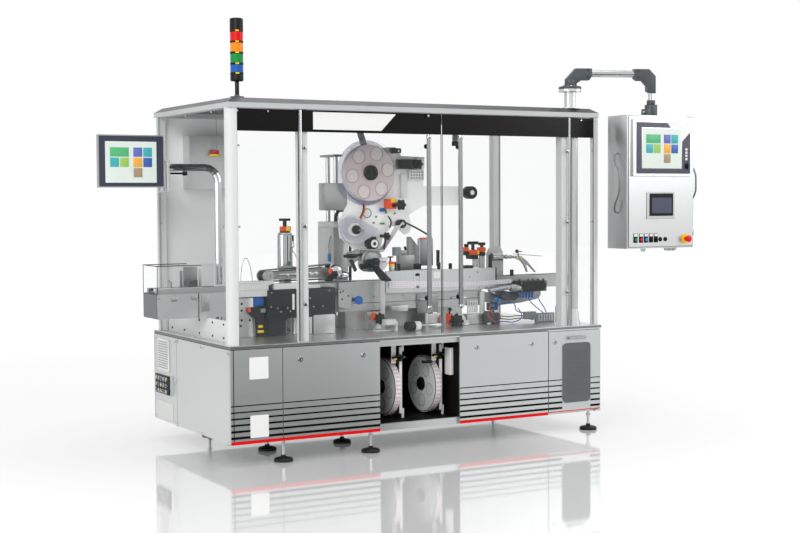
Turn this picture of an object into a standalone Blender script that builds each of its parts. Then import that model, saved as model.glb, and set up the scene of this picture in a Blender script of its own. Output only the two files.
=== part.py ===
# Labelling machine for a packaging line: a stainless base cabinet with a glazed guard, a label
# applicator over a straight conveyor, a hanging control cabinet and a side monitor.
# Metres, +Z up, +X along the conveyor to the outfeed, the operator stands at -Y.
# The working frame has its corner at the cabinet's front left edge on the floor; the root empty
# then moves everything so that the front left foot stands on the origin.
import math

import bmesh
import bpy
from mathutils import Matrix, Vector

# Clearances
SEAT = 0.0003            # gap left between pieces that rest on each other
RUN = 0.0006             # radial gap of a pin or spindle in its bore
SWING = 0.0055           # gap beside a piece that moves
BITE = 0.002             # how far welded solids run into each other

# Base cabinet
CAB_L = 2.746
CAB_D = 1.312
CAB_BOTTOM = 0.131
CAB_TOP = 0.699
DECK_T = 0.0257
PANEL_T = 0.020          # folded sheet panels
DOOR_T = 0.015           # the service door is flatter, so that it swings clear
SEAM = 0.004
FRAME_BAR = 0.040
FRAME_FLOOR = 0.030
SEAM_1 = 0.340           # seam between front panels 1 and 2
BAY_LEFT = 1.010         # open reel bay in the middle of the front
BAY_RIGHT = 1.600
BAY_DEPTH = 0.62
BAY_FLOOR = 0.175
BAY_CEILING = 0.665
SEAM_3 = CAB_L - 0.443   # seam between panel 3 and the service door
DIVIDER_T = 0.025
CONNECTOR_Y = CAB_D - 0.419   # seam between the left end panel and the connector panel
VENT_LEFT = CAB_L - 0.328
VENT_RIGHT = CAB_L - 0.096
VENT_BOTTOM = 0.206
VENT_TOP = 0.612
VENT_T = 0.003
PULL_Z = 0.645
PULL_HALF_W = 0.075
PULL_HALF_H = 0.006
PULL_PROUD = 0.012
LOUVRE = ((CAB_D - 0.302, 0.465), (CAB_D - 0.087, 0.680))   # plates on the connector panel, y and z
LOUVRE_T = 0.004
SOCKETS = ((CAB_D - 0.327, 0.312), (CAB_D - 0.062, 0.445))
SOCKETS_T = 0.012
LOCK_R = 0.011
LOCK_PROUD = 0.002
LOCK_Z = 0.622
LOCKS_PANEL_2 = (SEAM_1 + 0.119, BAY_LEFT - 0.117)
LOCKS_PANEL_3 = (BAY_RIGHT + 0.133, SEAM_3 - 0.135)
LOCK_DOOR = SEAM_3 + 0.053
PIN_R = 0.004
PIN_LENGTH = 0.014
LUG_L = 0.040

# Feet
FOOT_DISC_R = 0.056
FOOT_DISC_T = 0.009
FOOT_DOME_H = 0.024
FOOT_STEM_R = 0.009
FOOT_NUT_R = 0.016
FOOT_NUT_T = 0.012
FRONT_FOOT_Y = 0.050
FRONT_FEET_X = (0.363, 0.967, CAB_L - 0.074)
MIDDLE_FOOT_Y = 0.448
MIDDLE_FEET_X = (0.434, 0.969)
REAR_FOOT_Y = CAB_D - 0.072
REAR_FEET_X = (0.363, CAB_L - 0.074)

# Guard
POST = 0.058
POST_ROUND = 0.046
POST_INSET_X = 0.008
POST_INSET_Y = 0.020
RIGHT_INSET = 0.017      # right posts and roof, from the cabinet's right end
SLIM_W = 0.030           # the front right post is a slim one
SLIM_D = 0.045
MID_POST_LEFT = 0.484    # left side of the second post
MID_POST_RIGHT = CAB_L - 0.260   # right side of the third post
MID_POST_W = 0.050
MID_POST_D = 0.065
PANE_T = 0.006
DOOR_PANE_Y = 0.019
FIXED_PANE_Y = 0.029
STILE_R = 0.008
HINGE_LEFT_X = 0.482
HINGE_RIGHT_X = CAB_L - 0.256
DOOR_MEET_X = (HINGE_LEFT_X + HINGE_RIGHT_X) / 2 - 0.007   # where the two doors meet
ROOF_BOTTOM = 2.139
ROOF_FASCIA_TOP = 2.170
ROOF_TOP = 2.200
ROOF_BEVEL = 0.045
ROOF_FRONT_Y = 0.010
ROOF_SKIN = 0.006
ROOF_MAST_CLEAR = 0.120
GUARD_REAR_Y = CAB_D - 0.028
HANDLE_R = 0.015
HANDLE_Y = -0.022
HANDLE_INSET = 0.118     # handle centre to the door's free edge
HANDLE_BOTTOM = 0.900
HANDLE_TOP = 1.985
HANDLE_STUB_INSET = 0.060
HANDLE_STUB_R = 0.009
END_PANE_INSET = 0.010
REAR_INSET = 0.016
OUTFEED_SIDE = 0.030     # room beside and over the belt where it leaves the guard
OUTFEED_BOTTOM = 0.942
OUTFEED_TOP = 1.202
REAR_SHEET_X = 0.600     # where the opaque rear sheet gives way to glazing
JUNCTION_LEFT = 0.204
JUNCTION_RIGHT = 0.500
JUNCTION_BOTTOM = 1.667
JUNCTION_TOP = 2.020
JUNCTION_DEPTH = 0.120

# Signal tower
TOWER_X = 0.112
TOWER_Y = 0.120
TOWER_FLANGE_R = 0.042
TOWER_FLANGE_T = 0.010
TOWER_POLE_R = 0.0135
TOWER_TOP = 2.676
TOWER_LAMPS_Z = TOWER_TOP - 0.374
TOWER_LAMP_R = 0.035
TOWER_BEVEL = 0.007

# Conveyor
LINE_Y = 0.615
BELT_TOP = 1.042
BELT_W = 0.110
BELT_T = 0.004
BELT_END_R = 0.036
CONVEYOR_LEFT = -0.262
CONVEYOR_RIGHT = CAB_L + 0.134
RAIL_W = 0.168
RAIL_UNDER = 0.010       # how far the rails reach below the belt
RAIL_OVER = 0.004
BODY_LEFT = 0.985
BODY_RIGHT = 2.100
BODY_W = 0.205
BODY_BOTTOM = 0.855
LEG_W = 0.110
LEG_D = 0.150
LEGS_X = (0.360, 1.180, 1.900)

# Infeed tunnel
TROUGH_LEFT = -0.272
TROUGH_RIGHT = 0.200
TROUGH_FRONT = 0.490
TROUGH_BACK = 0.740
TROUGH_BOTTOM = 0.862
TROUGH_TOP = 1.016
TROUGH_T = 0.003
TUNNEL_LEFT = -0.262
TUNNEL_TOP = 1.186
TUNNEL_T = 0.005

# Separating screw housing under the hold down belt
SCREW_LEFT = 0.433
SCREW_RIGHT = 0.918
SCREW_FRONT = 0.430
SCREW_BOTTOM = 0.838
SCREW_LIP_TOP = 1.022
SCREW_LEG_W = 0.120
SCREW_LEG_INSET = 0.020

# Hold down belt and its height adjuster
HOLD_LEFT = 0.470
HOLD_RIGHT = 0.940
HOLD_Z = 1.109
HOLD_R = 0.046
HOLD_FRONT = 0.470
HOLD_W = 0.130
HOLD_MOTOR_X = 0.970
HOLD_MOTOR_Z = 1.119
HOLD_MOTOR_R = 0.050
HOLD_MOTOR_L = 0.040
ADJUSTER_X = 0.706
ADJUSTER_Y = 0.757
ADJUSTER_FOOT_R = 0.036
ADJUSTER_BOTTOM = 1.075
ADJUSTER_R = 0.044
ADJUSTER_TOP = 1.375
ADJUSTER_CAP_R = 0.030
ADJUSTER_KNOB_TOP = 1.470
ADJUSTER_KNOB_R = 0.034
ADJUSTER_KNOB_T = 0.014
ADJUSTER_SPINDLE_R = 0.009
ADJUSTER_DIAL_TOP = 1.415

# Label head
COLUMN_X = 1.132
COLUMN_Y = 0.888
COLUMN_W = 0.105
COLUMN_D = 0.236
COLUMN_TOP = 1.440
ROD_R = 0.016
ROD_SPREAD = 0.120        # one rod stands behind the other
ROD_TOP = 1.880
CARRIAGE_BOTTOM = 1.520
CARRIAGE_TOP = 1.700
CARRIAGE_LEFT = 0.919
CARRIAGE_RIGHT = 1.290
CARRIAGE_D = 0.090
HEAD_Y = 0.560           # front face of the head plate
HEAD_T = 0.012
REEL_X = 1.215
REEL_Z = 1.768
REEL_DISC_R = 0.214
REEL_DISC_T = 0.004
REEL_ROLL_R = 0.178
REEL_ROLL_W = 0.060
REEL_HUB_R = 0.045
REEL_HUB_W = 0.022
REWIND_X = 1.105
REWIND_Z = 1.392
REWIND_R = 0.098
REWIND_W = 0.030
REWIND_HUB_R = 0.030
REWIND_HUB_W = 0.040
SPINDLE_R = 0.012
HEAD_ARM_END = 2.000
HEAD_ARM_Z = 1.612
HEAD_ARM_H = 0.130
ROLLERS = (              # x, z, radius, length of the guide rollers on the head plate
    (1.414, 1.912, 0.020, 0.090),
    (1.237, 1.298, 0.033, 0.085),
    (1.479, 1.426, 0.023, 0.085),
    (1.560, 1.815, 0.030, 0.080),
    (2.010, 1.634, 0.044, 0.070),
    (1.395, 1.560, 0.034, 0.060),
)

HEAD_OUTLINE = (         # front view of the head plate, x and z
    (1.080, 1.850), (1.180, 1.900), (1.380, 1.940), (1.450, 1.940), (1.495, 1.882), (1.664, 1.878),
    (1.664, 1.540), (1.549, 1.482), (1.572, 1.415), (1.552, 1.364), (1.516, 1.350), (1.480, 1.378),
    (1.452, 1.406), (1.415, 1.410), (1.344, 1.328), (1.326, 1.240), (1.290, 1.200), (1.200, 1.200),
    (1.020, 1.340), (1.010, 1.450), (1.080, 1.560),
)
HEAD_ARM_START = 1.600
SPINDLE_PROUD = 0.020    # how far a spindle reaches beyond its roll
BORE_PROUD = 0.016       # depth of the hub's blind bore beyond the roll
ROD_CAP_T = 0.016
ROD_CAP_INSET = 0.020
CARRIAGE_BACK = 0.040    # behind the rear rod's axis

# Label plate in front of the conveyor
PLATE_LEFT = 1.327
PLATE_RIGHT = 2.196
PLATE_FRONT = 0.484
PLATE_T = 0.018
PLATE_BOTTOM = 0.965
PLATE_TOP = 1.112
PLATE_BRACKET_W = 0.040
PLATE_BRACKET_Z = (0.975, 1.005)
PLATE_BRACKETS_X = (1.447, 1.936)

# Valve box in front of the outfeed rail
VALVE_BOX_X = (CAB_L - 0.370, CAB_L - 0.145)
VALVE_BOX_Z = (0.938, 1.011)
VALVE_BOX_D = 0.090
PEEL_FRONT = 0.395
PEEL_W = 0.080
PEEL_BAR = ((1.225, 1.160), (1.255, 1.175), (1.385, 1.050), (1.360, 1.030))   # side view, x and z
PEEL_ARM = ((1.215, 1.140), (1.275, 1.245))
PEEL_HANGER = ((1.205, 1.140), (1.330, 1.255))

# Unwinders in the reel bay
UNWIND_PLATES_X = (1.243, 1.545)   # left faces of the two upright plates
UNWIND_PLATE_T = 0.046
UNWIND_FRONT = 0.150
UNWIND_BACK = 0.420
UNWIND_REEL_Y = 0.290
UNWIND_REEL_Z = 0.372
UNWIND_REEL_R = 0.182
UNWIND_REEL_W = 0.052
UNWIND_HUB_R = 0.045
UNWIND_HUB_W = 0.018
UNWIND_GAP = 0.012

# Side monitor on its bent tube
TUBE_R = 0.024
TUBE_X = 0.262
TUBE_Y = 0.800
TUBE_Z = 1.800
TUBE_BEND = 0.090
TUBE_LEFT = -0.075
TUBE_FOOT_R = 0.050
TUBE_FOOT_T = 0.010
MONITOR_PIVOT_X = -0.110
MONITOR_LEFT = -0.560
MONITOR_RIGHT = -0.150
MONITOR_FRONT = 0.720
MONITOR_T = 0.055
MONITOR_RIM_T = 0.020    # the slim case in front of the housing
MONITOR_RIM = 0.045      # how far the case stands out round the housing
MONITOR_BOTTOM = 1.672
MONITOR_TOP = 1.998
MONITOR_ARM_H = 0.060
MONITOR_ARM_L = 0.060
MONITOR_ARM_W = 0.030
MONITOR_ARM_T = 0.024
KNUCKLE_R = 0.022
KNUCKLE_BOTTOM = 1.650
KNUCKLE_TOP = 1.838
FORK_T = 0.008

# Control cabinet on the swing arm
MAST_X = CAB_L - 0.175
MAST_Y = 0.090
MAST_R = 0.0345
MAST_FOOT_R = 0.052
MAST_FOOT_H = 0.110
MAST_TOP = 2.331
SWIVEL_X = MAST_X - 0.0245   # the arm's stub stands beside the tube's axis
STUB_R = 0.0405
STUB_FOOT_R = 0.062
STUB_FOOT_T = 0.006
MAST_FLANGE_R = 0.078
MAST_FLANGE_T = 0.014
ARM_TURN = math.radians(-21.08)
ARM_REACH = 0.5718
ARM_Z = 2.438
ARM_R = 0.024
ELBOW = 0.034            # half width of the cast elbows
ELBOW_RUN = 0.135
ELBOW_DROP = 0.132
COLLAR_T = 0.030
FLANGE_T = 0.018
CABINET_W = 0.590
CABINET_D = 0.205
CABINET_BOTTOM = 1.248
CABINET_TOP = 2.150
CABINET_TURN = math.radians(1.0)
NECK_R = 0.020
NECK_TOP = 2.300
SOCKET_R = 0.040
SOCKET_H = 0.070
BOW_R = 0.006
BOW_PROUD = 0.045
BOW_TOP = 1.985
BOW_BOTTOM = 1.580

ROUND = 16               # sides of a middling cylinder
FINE = 32                # sides of the large discs
COARSE = 10              # sides of pins, stems and thin tubes

ORIGIN = Vector((FRONT_FEET_X[0], FRONT_FOOT_Y, 0.0))

FINISHES = {             # colour, roughness, metallic
    "stainless": ((0.50, 0.51, 0.51), 0.35, 1.0),
    "painted_frame": ((0.62, 0.64, 0.65), 0.45, 0.2),
    "glazing": ((0.85, 0.89, 0.90), 0.08, 0.0),
    "black": ((0.03, 0.03, 0.03), 0.5, 0.0),
    "chrome": ((0.75, 0.75, 0.76), 0.12, 1.0),
    "grey_casting": ((0.20, 0.21, 0.22), 0.5, 0.3),
    "white_plate": ((0.78, 0.78, 0.77), 0.4, 0.1),
    "anodised": ((0.42, 0.43, 0.44), 0.4, 0.8),
    "lamp_lens": ((0.70, 0.08, 0.04), 0.3, 0.0),
    "label_roll": ((0.80, 0.74, 0.75), 0.5, 0.0),
    "belt": ((0.10, 0.10, 0.11), 0.6, 0.0),
}


def clear_scene():
    for item in list(bpy.data.objects):
        bpy.data.objects.remove(item, do_unlink=True)


def make_materials():
    made = {}
    for name, (colour, roughness, metallic) in FINISHES.items():
        material = bpy.data.materials.new(name)
        material.use_nodes = True
        shader = material.node_tree.nodes["Principled BSDF"]
        shader.inputs["Base Color"].default_value = (*colour, 1.0)
        shader.inputs["Roughness"].default_value = roughness
        shader.inputs["Metallic"].default_value = metallic
        made[name] = material
    return made


def make_empty(name, place, parent=None):
    empty = bpy.data.objects.new(name, None)
    bpy.context.scene.collection.objects.link(empty)
    empty.parent = parent
    empty.location = place
    return empty


# Solids, each a bmesh in the working frame
def block(low, high):
    shape = bmesh.new()
    size = [high[i] - low[i] for i in range(3)]
    centre = [(high[i] + low[i]) / 2 for i in range(3)]
    place = Matrix.Translation(centre) @ Matrix.Diagonal((*size, 1.0))
    bmesh.ops.create_cube(shape, size=1.0, matrix=place)
    return shape


def along(start, end):
    """Matrix that takes +Z at the origin to the line from start to end."""
    start, end = Vector(start), Vector(end)
    turn = (end - start).to_track_quat("Z", "Y").to_matrix().to_4x4()
    return Matrix.Translation(start) @ turn


def rod(start, end, radius, sides=ROUND, end_radius=None):
    shape = bmesh.new()
    length = (Vector(end) - Vector(start)).length
    top = radius if end_radius is None else end_radius
    place = along(start, end) @ Matrix.Translation((0, 0, length / 2))
    bmesh.ops.create_cone(shape, cap_ends=True, cap_tris=False, segments=sides,
                          radius1=radius, radius2=top, depth=length, matrix=place)
    return shape


def prism(outline, axis, low, high):
    """Extrude an outline of (a, b) points along an axis: X takes (y, z), Y (x, z), Z (x, y)."""
    def point(a, b, level):
        return {"X": (level, a, b), "Y": (a, level, b), "Z": (a, b, level)}[axis]

    shape = bmesh.new()
    rim = [shape.verts.new(point(a, b, low)) for a, b in outline]
    face = shape.faces.new(rim)
    grown = bmesh.ops.extrude_face_region(shape, geom=[face])
    moved = [item for item in grown["geom"] if isinstance(item, bmesh.types.BMVert)]
    shift = Vector(point(0, 0, high)) - Vector(point(0, 0, low))
    bmesh.ops.translate(shape, vec=shift, verts=moved)
    bmesh.ops.recalc_face_normals(shape, faces=shape.faces)
    return shape


def turned(profile, foot, head, sides=ROUND):
    """Turn a profile of (radius, height) points, open at both axis ends, about foot to head."""
    shape = bmesh.new()
    chain = [shape.verts.new((radius, 0.0, height)) for radius, height in profile]
    edges = [shape.edges.new(pair) for pair in zip(chain, chain[1:])]
    bmesh.ops.spin(shape, geom=chain + edges, cent=(0, 0, 0), axis=(0, 0, 1),
                   angle=math.tau, steps=sides, use_merge=True)
    bmesh.ops.remove_doubles(shape, verts=shape.verts, dist=1e-5)
    bmesh.ops.holes_fill(shape, edges=shape.edges, sides=0)
    bmesh.ops.recalc_face_normals(shape, faces=shape.faces)
    bmesh.ops.transform(shape, matrix=along(foot, head), verts=shape.verts)
    return shape


def arc(centre, radius, start, end, steps):
    """Points of an arc in a plane, angles in degrees."""
    points = []
    for step in range(steps + 1):
        angle = math.radians(start + (end - start) * step / steps)
        points.append((centre[0] + radius * math.cos(angle), centre[1] + radius * math.sin(angle)))
    return points


def racetrack(left, right, radius, middle, steps=8):
    """Outline of a belt loop: two half circles and two straight runs."""
    ends = arc((right - radius, middle), radius, -90, 90, steps)
    return ends + arc((left + radius, middle), radius, 90, 270, steps)


def swept(route, radius, sides=COARSE):
    """Round bar along a polyline, its joints mitred, its ends capped."""
    points = [Vector(point) for point in route]
    first_leg = (points[1] - points[0]).normalized()
    guide = Vector((0, 1, 0)) if abs(first_leg.y) < 0.5 else Vector((1, 0, 0))
    shape = bmesh.new()
    rings = []
    for index, point in enumerate(points):
        before = (point - points[index - 1]).normalized() if index else None
        after = (points[index + 1] - point).normalized() if index + 1 < len(points) else None
        way = (before or after) + (after or before)
        plane_normal = way.normalized()
        leg = before or after
        side = (guide - leg * guide.dot(leg)).normalized()
        other = leg.cross(side)
        ring = []
        for step in range(sides):
            turn = math.tau * step / sides
            spoke = side * math.cos(turn) * radius + other * math.sin(turn) * radius
            slide = -spoke.dot(plane_normal) / leg.dot(plane_normal)
            ring.append(shape.verts.new(point + spoke + leg * slide))
        rings.append(ring)
    for low, high in zip(rings, rings[1:]):
        for step in range(sides):
            after = (step + 1) % sides
            shape.faces.new((low[step], low[after], high[after], high[step]))
    shape.faces.new(rings[0])
    shape.faces.new(rings[-1])
    bmesh.ops.recalc_face_normals(shape, faces=shape.faces)
    return shape


# Nodes
class Shop:
    """Makes the nodes of the machine and hangs them under the empties that carry them."""

    def __init__(self):
        self.materials = make_materials()
        self.root = make_empty("machine", -ORIGIN)
        self.pivots = {}

    def pivot(self, name, place, under=None):
        parent = self.pivots[under][0] if under else self.root
        base = self.pivots[under][1] if under else Vector((0, 0, 0))
        self.pivots[name] = (make_empty(name + "_axis", Vector(place) - base, parent), Vector(place))

    def temporary(self, shape, name):
        mesh = bpy.data.meshes.new(name)
        shape.to_mesh(mesh)
        shape.free()
        item = bpy.data.objects.new(name, mesh)
        bpy.context.scene.collection.objects.link(item)
        return item

    def node(self, name, finish, solids, cuts=(), body=None, smooth=False):
        """Weld solids into one closed body, take the cuts out and place it as a named node."""
        base = self.temporary(solids[0], name)
        helpers = []
        for kind, shapes in (("UNION", solids[1:]), ("DIFFERENCE", cuts)):
            for shape in shapes:
                helper = self.temporary(shape, name + "_helper")
                helpers.append(helper)
                step = base.modifiers.new(kind.lower(), "BOOLEAN")
                step.operation = kind
                step.solver = "EXACT"
                step.object = helper
        if helpers:
            view = bpy.context.evaluated_depsgraph_get()
            welded = bpy.data.meshes.new_from_object(base.evaluated_get(view))
            base.modifiers.clear()
            old = base.data
            base.data = welded
            bpy.data.meshes.remove(old)
            for helper in helpers:
                mesh = helper.data
                bpy.data.objects.remove(helper, do_unlink=True)
                bpy.data.meshes.remove(mesh)
        parent, place = self.pivots[body] if body else (self.root, Vector((0, 0, 0)))
        base.data.transform(Matrix.Translation(-place))
        base.parent = parent
        base.data.materials.clear()
        base.data.materials.append(self.materials[finish])
        if smooth:
            base.data.shade_smooth()
            base.data.set_sharp_from_angle(angle=math.radians(35))
        return base


# Base cabinet
def base_frame(shop):
    back = CAB_D - PANEL_T - SEAT
    left = PANEL_T + SEAT
    right = CAB_L - PANEL_T - SEAT
    front = PANEL_T + SEAT
    hull = block((left, front, CAB_BOTTOM), (right, back, CAB_TOP - SEAT))
    floor = CAB_BOTTOM + FRAME_FLOOR
    ceiling = CAB_TOP - FRAME_BAR
    inner_back = back - FRAME_BAR
    cuts = [
        block((left + FRAME_BAR, front - BITE, floor), (BAY_LEFT - DIVIDER_T, inner_back, ceiling)),
        block((BAY_LEFT, front - BITE, BAY_FLOOR), (BAY_RIGHT, front + BAY_DEPTH, BAY_CEILING)),
        block((BAY_RIGHT + DIVIDER_T, front - BITE, floor), (right - FRAME_BAR, inner_back, ceiling)),
    ]
    lug = block((door_axis_x() - LUG_L, 0, CAB_BOTTOM),
                (door_axis_x() + DOOR_T / 2, front - SEAT, CAB_BOTTOM + FRAME_FLOOR / 3))
    tongue = block((door_axis_x() - LUG_L, 0, CAB_BOTTOM),
                   (right, front + BITE, CAB_BOTTOM + FRAME_FLOOR / 3))
    pin = rod((door_axis_x(), DOOR_T / 2, CAB_BOTTOM + BITE),
              (door_axis_x(), DOOR_T / 2, door_bottom() + PIN_LENGTH - SWING), PIN_R, COARSE)
    shop.node("base_frame", "stainless", [hull, lug, tongue, pin] + feet(), cuts)


def door_axis_x():
    return CAB_L - DOOR_T / 2 - SEAM


def door_bottom():
    return CAB_BOTTOM + FRAME_FLOOR / 3 + SWING


def door_top():
    return CAB_TOP - SWING


def deck_plate(shop):
    plate = block((0, 0, CAB_TOP), (CAB_L, CAB_D, deck_top()))
    pins = [
        rod((HINGE_LEFT_X, stile_y(), deck_top() - BITE),
            (HINGE_LEFT_X, stile_y(), guard_door_bottom() + PIN_LENGTH - SWING), PIN_R, COARSE),
        rod((HINGE_RIGHT_X, stile_y(), deck_top() - BITE),
            (HINGE_RIGHT_X, stile_y(), guard_door_bottom() + PIN_LENGTH - SWING), PIN_R, COARSE),
        rod((door_axis_x(), DOOR_T / 2, door_top() - PIN_LENGTH + SWING),
            (door_axis_x(), DOOR_T / 2, CAB_TOP + BITE), PIN_R, COARSE),
    ]
    shop.node("deck_plate", "stainless", [plate] + pins)


def deck_top():
    return CAB_TOP + DECK_T


def lock(x, front):
    return rod((x, front - LOCK_PROUD, LOCK_Z), (x, front + BITE, LOCK_Z), LOCK_R, COARSE)


def front_panels(shop):
    bottom = CAB_BOTTOM + SEAM / 2
    top = CAB_TOP - SEAT

    def panel(left, right):
        return block((left, 0, bottom), (right, PANEL_T, top))

    shop.node("front_panel_1", "stainless", [panel(0, SEAM_1 - SEAM / 2)])
    shop.node("front_panel_2", "stainless",
              [panel(SEAM_1 + SEAM / 2, BAY_LEFT)] + [lock(x, 0) for x in LOCKS_PANEL_2])
    shop.node("front_panel_3", "stainless",
              [panel(BAY_RIGHT, SEAM_3 - SWING / 2)] + [lock(x, 0) for x in LOCKS_PANEL_3])


def service_door(shop):
    axis_x = door_axis_x()
    edge = arc((axis_x, DOOR_T / 2), DOOR_T / 2, -90, 90, 4)
    left = SEAM_3 + SWING / 2
    outline = [(left, 0)] + edge + [(left, DOOR_T)]
    leaf = prism(outline, "Z", door_bottom(), door_top())
    vent = block((VENT_LEFT, -VENT_T, VENT_BOTTOM), (VENT_RIGHT, BITE, VENT_TOP))
    middle = (VENT_LEFT + VENT_RIGHT) / 2
    pull = block((middle - PULL_HALF_W, -PULL_PROUD, PULL_Z - PULL_HALF_H),
                 (middle + PULL_HALF_W, BITE, PULL_Z + PULL_HALF_H))
    bores = [
        rod((axis_x, DOOR_T / 2, door_bottom() - BITE), (axis_x, DOOR_T / 2, door_bottom() + PIN_LENGTH),
            PIN_R + RUN, COARSE),
        rod((axis_x, DOOR_T / 2, door_top() - PIN_LENGTH), (axis_x, DOOR_T / 2, door_top() + BITE),
            PIN_R + RUN, COARSE),
    ]
    shop.pivot("service_door", (axis_x, DOOR_T / 2, (door_bottom() + door_top()) / 2))
    shop.node("service_door_leaf", "stainless", [leaf, vent, pull, lock(LOCK_DOOR, 0)], bores,
              body="service_door")


def end_and_rear_panels(shop):
    bottom = CAB_BOTTOM + SEAM / 2
    top = CAB_TOP - SEAT
    start = PANEL_T + SEAT
    end = CAB_D - PANEL_T - SEAT
    shop.node("end_panel_left", "stainless",
              [block((0, start, bottom), (PANEL_T, CONNECTOR_Y - SEAM / 2, top))])
    plates = [block((-proud, low[0], low[1]), (BITE, high[0], high[1]))
              for (low, high), proud in ((LOUVRE, LOUVRE_T), (SOCKETS, SOCKETS_T))]
    shop.node("connector_panel", "stainless",
              [block((0, CONNECTOR_Y + SEAM / 2, bottom), (PANEL_T, end, top))] + plates)
    shop.node("end_panel_right", "stainless",
              [block((CAB_L - PANEL_T, start, bottom), (CAB_L, end, top))])
    shop.node("rear_panel", "stainless", [block((0, CAB_D - PANEL_T, bottom), (CAB_L, CAB_D, top))])


def feet():
    """The levelling feet, each a turned solid whose stem runs up into the frame."""
    top = CAB_BOTTOM + FRAME_FLOOR / 2
    nut_top = CAB_BOTTOM - 0.020
    profile = [(0.0, 0.0), (FOOT_DISC_R, 0.0), (FOOT_DISC_R, FOOT_DISC_T),
               (FOOT_DISC_R * 0.45, FOOT_DOME_H), (FOOT_STEM_R, FOOT_DOME_H + 0.006),
               (FOOT_STEM_R, nut_top - FOOT_NUT_T), (FOOT_NUT_R, nut_top - FOOT_NUT_T),
               (FOOT_NUT_R, nut_top), (FOOT_STEM_R, nut_top), (FOOT_STEM_R, top), (0.0, top)]
    rows = ((FRONT_FEET_X, FRONT_FOOT_Y), (MIDDLE_FEET_X, MIDDLE_FOOT_Y), (REAR_FEET_X, REAR_FOOT_Y))
    return [turned(profile, (x, y, 0), (x, y, 1), 12) for places, y in rows for x in places]


# Guard
def stile_y():
    return DOOR_PANE_Y + PANE_T / 2


def guard_door_bottom():
    return deck_top() + SWING


def guard_door_top():
    return ROOF_BOTTOM - SWING


def posts(shop):
    bottom = deck_top() + SEAT
    top = ROOF_BOTTOM
    left = POST_INSET_X
    right = CAB_L - RIGHT_INSET
    front = POST_INSET_Y
    rear = GUARD_REAR_Y
    reach = POST - POST_ROUND
    corner = arc((POST_ROUND, POST_ROUND), POST_ROUND, 180, 270, 5)
    outline = corner + [(POST_ROUND + reach, 0), (POST, POST), (0, POST)]
    shop.node("post_front_right", "painted_frame",
              [block((right - SLIM_W, front, bottom), (right, front + SLIM_D, top))])
    places = {"front_left": (left, front, 1, 1), "rear_left": (left, rear, 1, -1),
              "rear_right": (right, rear, -1, -1)}
    for name, (x, y, way_x, way_y) in places.items():
        section = [(x + way_x * a, y + way_y * b) for a, b in outline]
        shop.node("post_" + name, "painted_frame", [prism(section, "Z", bottom, top)])
    for name, x in (("left", MID_POST_LEFT), ("right", MID_POST_RIGHT - MID_POST_W)):
        low = FIXED_PANE_Y + PANE_T + SEAT
        shop.node("post_middle_" + name, "painted_frame",
                  [block((x, low, bottom), (x + MID_POST_W, low + MID_POST_D, top))])


def roof(shop):
    left, right = POST_INSET_X, CAB_L - RIGHT_INSET
    front, rear = ROOF_FRONT_Y, GUARD_REAR_Y
    bottom = ROOF_BOTTOM + SEAT
    band = block((left, front, bottom), (right, rear, ROOF_FASCIA_TOP))
    crown = bmesh.new()
    lower = [(left, front), (right, front), (right, rear), (left, rear)]
    upper = [(left + ROOF_BEVEL, front + ROOF_BEVEL), (right - ROOF_BEVEL, front + ROOF_BEVEL),
             (right - ROOF_BEVEL, rear - ROOF_BEVEL), (left + ROOF_BEVEL, rear - ROOF_BEVEL)]
    base = [crown.verts.new((x, y, ROOF_FASCIA_TOP - BITE)) for x, y in lower]
    step = [crown.verts.new((x, y, ROOF_FASCIA_TOP)) for x, y in lower]
    top = [crown.verts.new((x, y, ROOF_TOP)) for x, y in upper]
    for low, high in ((base, step), (step, top)):
        for index in range(4):
            after = (index + 1) % 4
            crown.faces.new((low[index], low[after], high[after], high[index]))
    crown.faces.new(base)
    crown.faces.new(top)
    bmesh.ops.recalc_face_normals(crown, faces=crown.faces)
    hollow = block((left + POST + ROOF_SKIN, front + POST, bottom - BITE),
                   (MAST_X - ROOF_MAST_CLEAR, rear - POST, ROOF_TOP - ROOF_SKIN))
    pins = [rod((x, stile_y(), guard_door_top() - PIN_LENGTH + SWING),
                (x, stile_y(), bottom + BITE), PIN_R, COARSE)
            for x in (HINGE_LEFT_X, HINGE_RIGHT_X)]
    mast_hole = rod((MAST_X, MAST_Y, bottom - BITE), (MAST_X, MAST_Y, ROOF_TOP + BITE),
                    MAST_R + SEAT * 2)
    shop.node("roof", "painted_frame", [band, crown] + pins, [hollow, mast_hole])


def front_panes(shop):
    low, high = FIXED_PANE_Y, FIXED_PANE_Y + PANE_T
    bottom, top = deck_top() + SEAT, ROOF_BOTTOM
    clear = STILE_R + SWING
    left = POST_INSET_X + POST + SEAT
    right = CAB_L - RIGHT_INSET - SLIM_W - SEAT
    shop.node("front_pane_left", "glazing",
              [block((left, low, bottom), (HINGE_LEFT_X - clear, high, top))])
    shop.node("front_pane_right", "glazing",
              [block((HINGE_RIGHT_X + clear, low, bottom), (right, high, top))])


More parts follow.
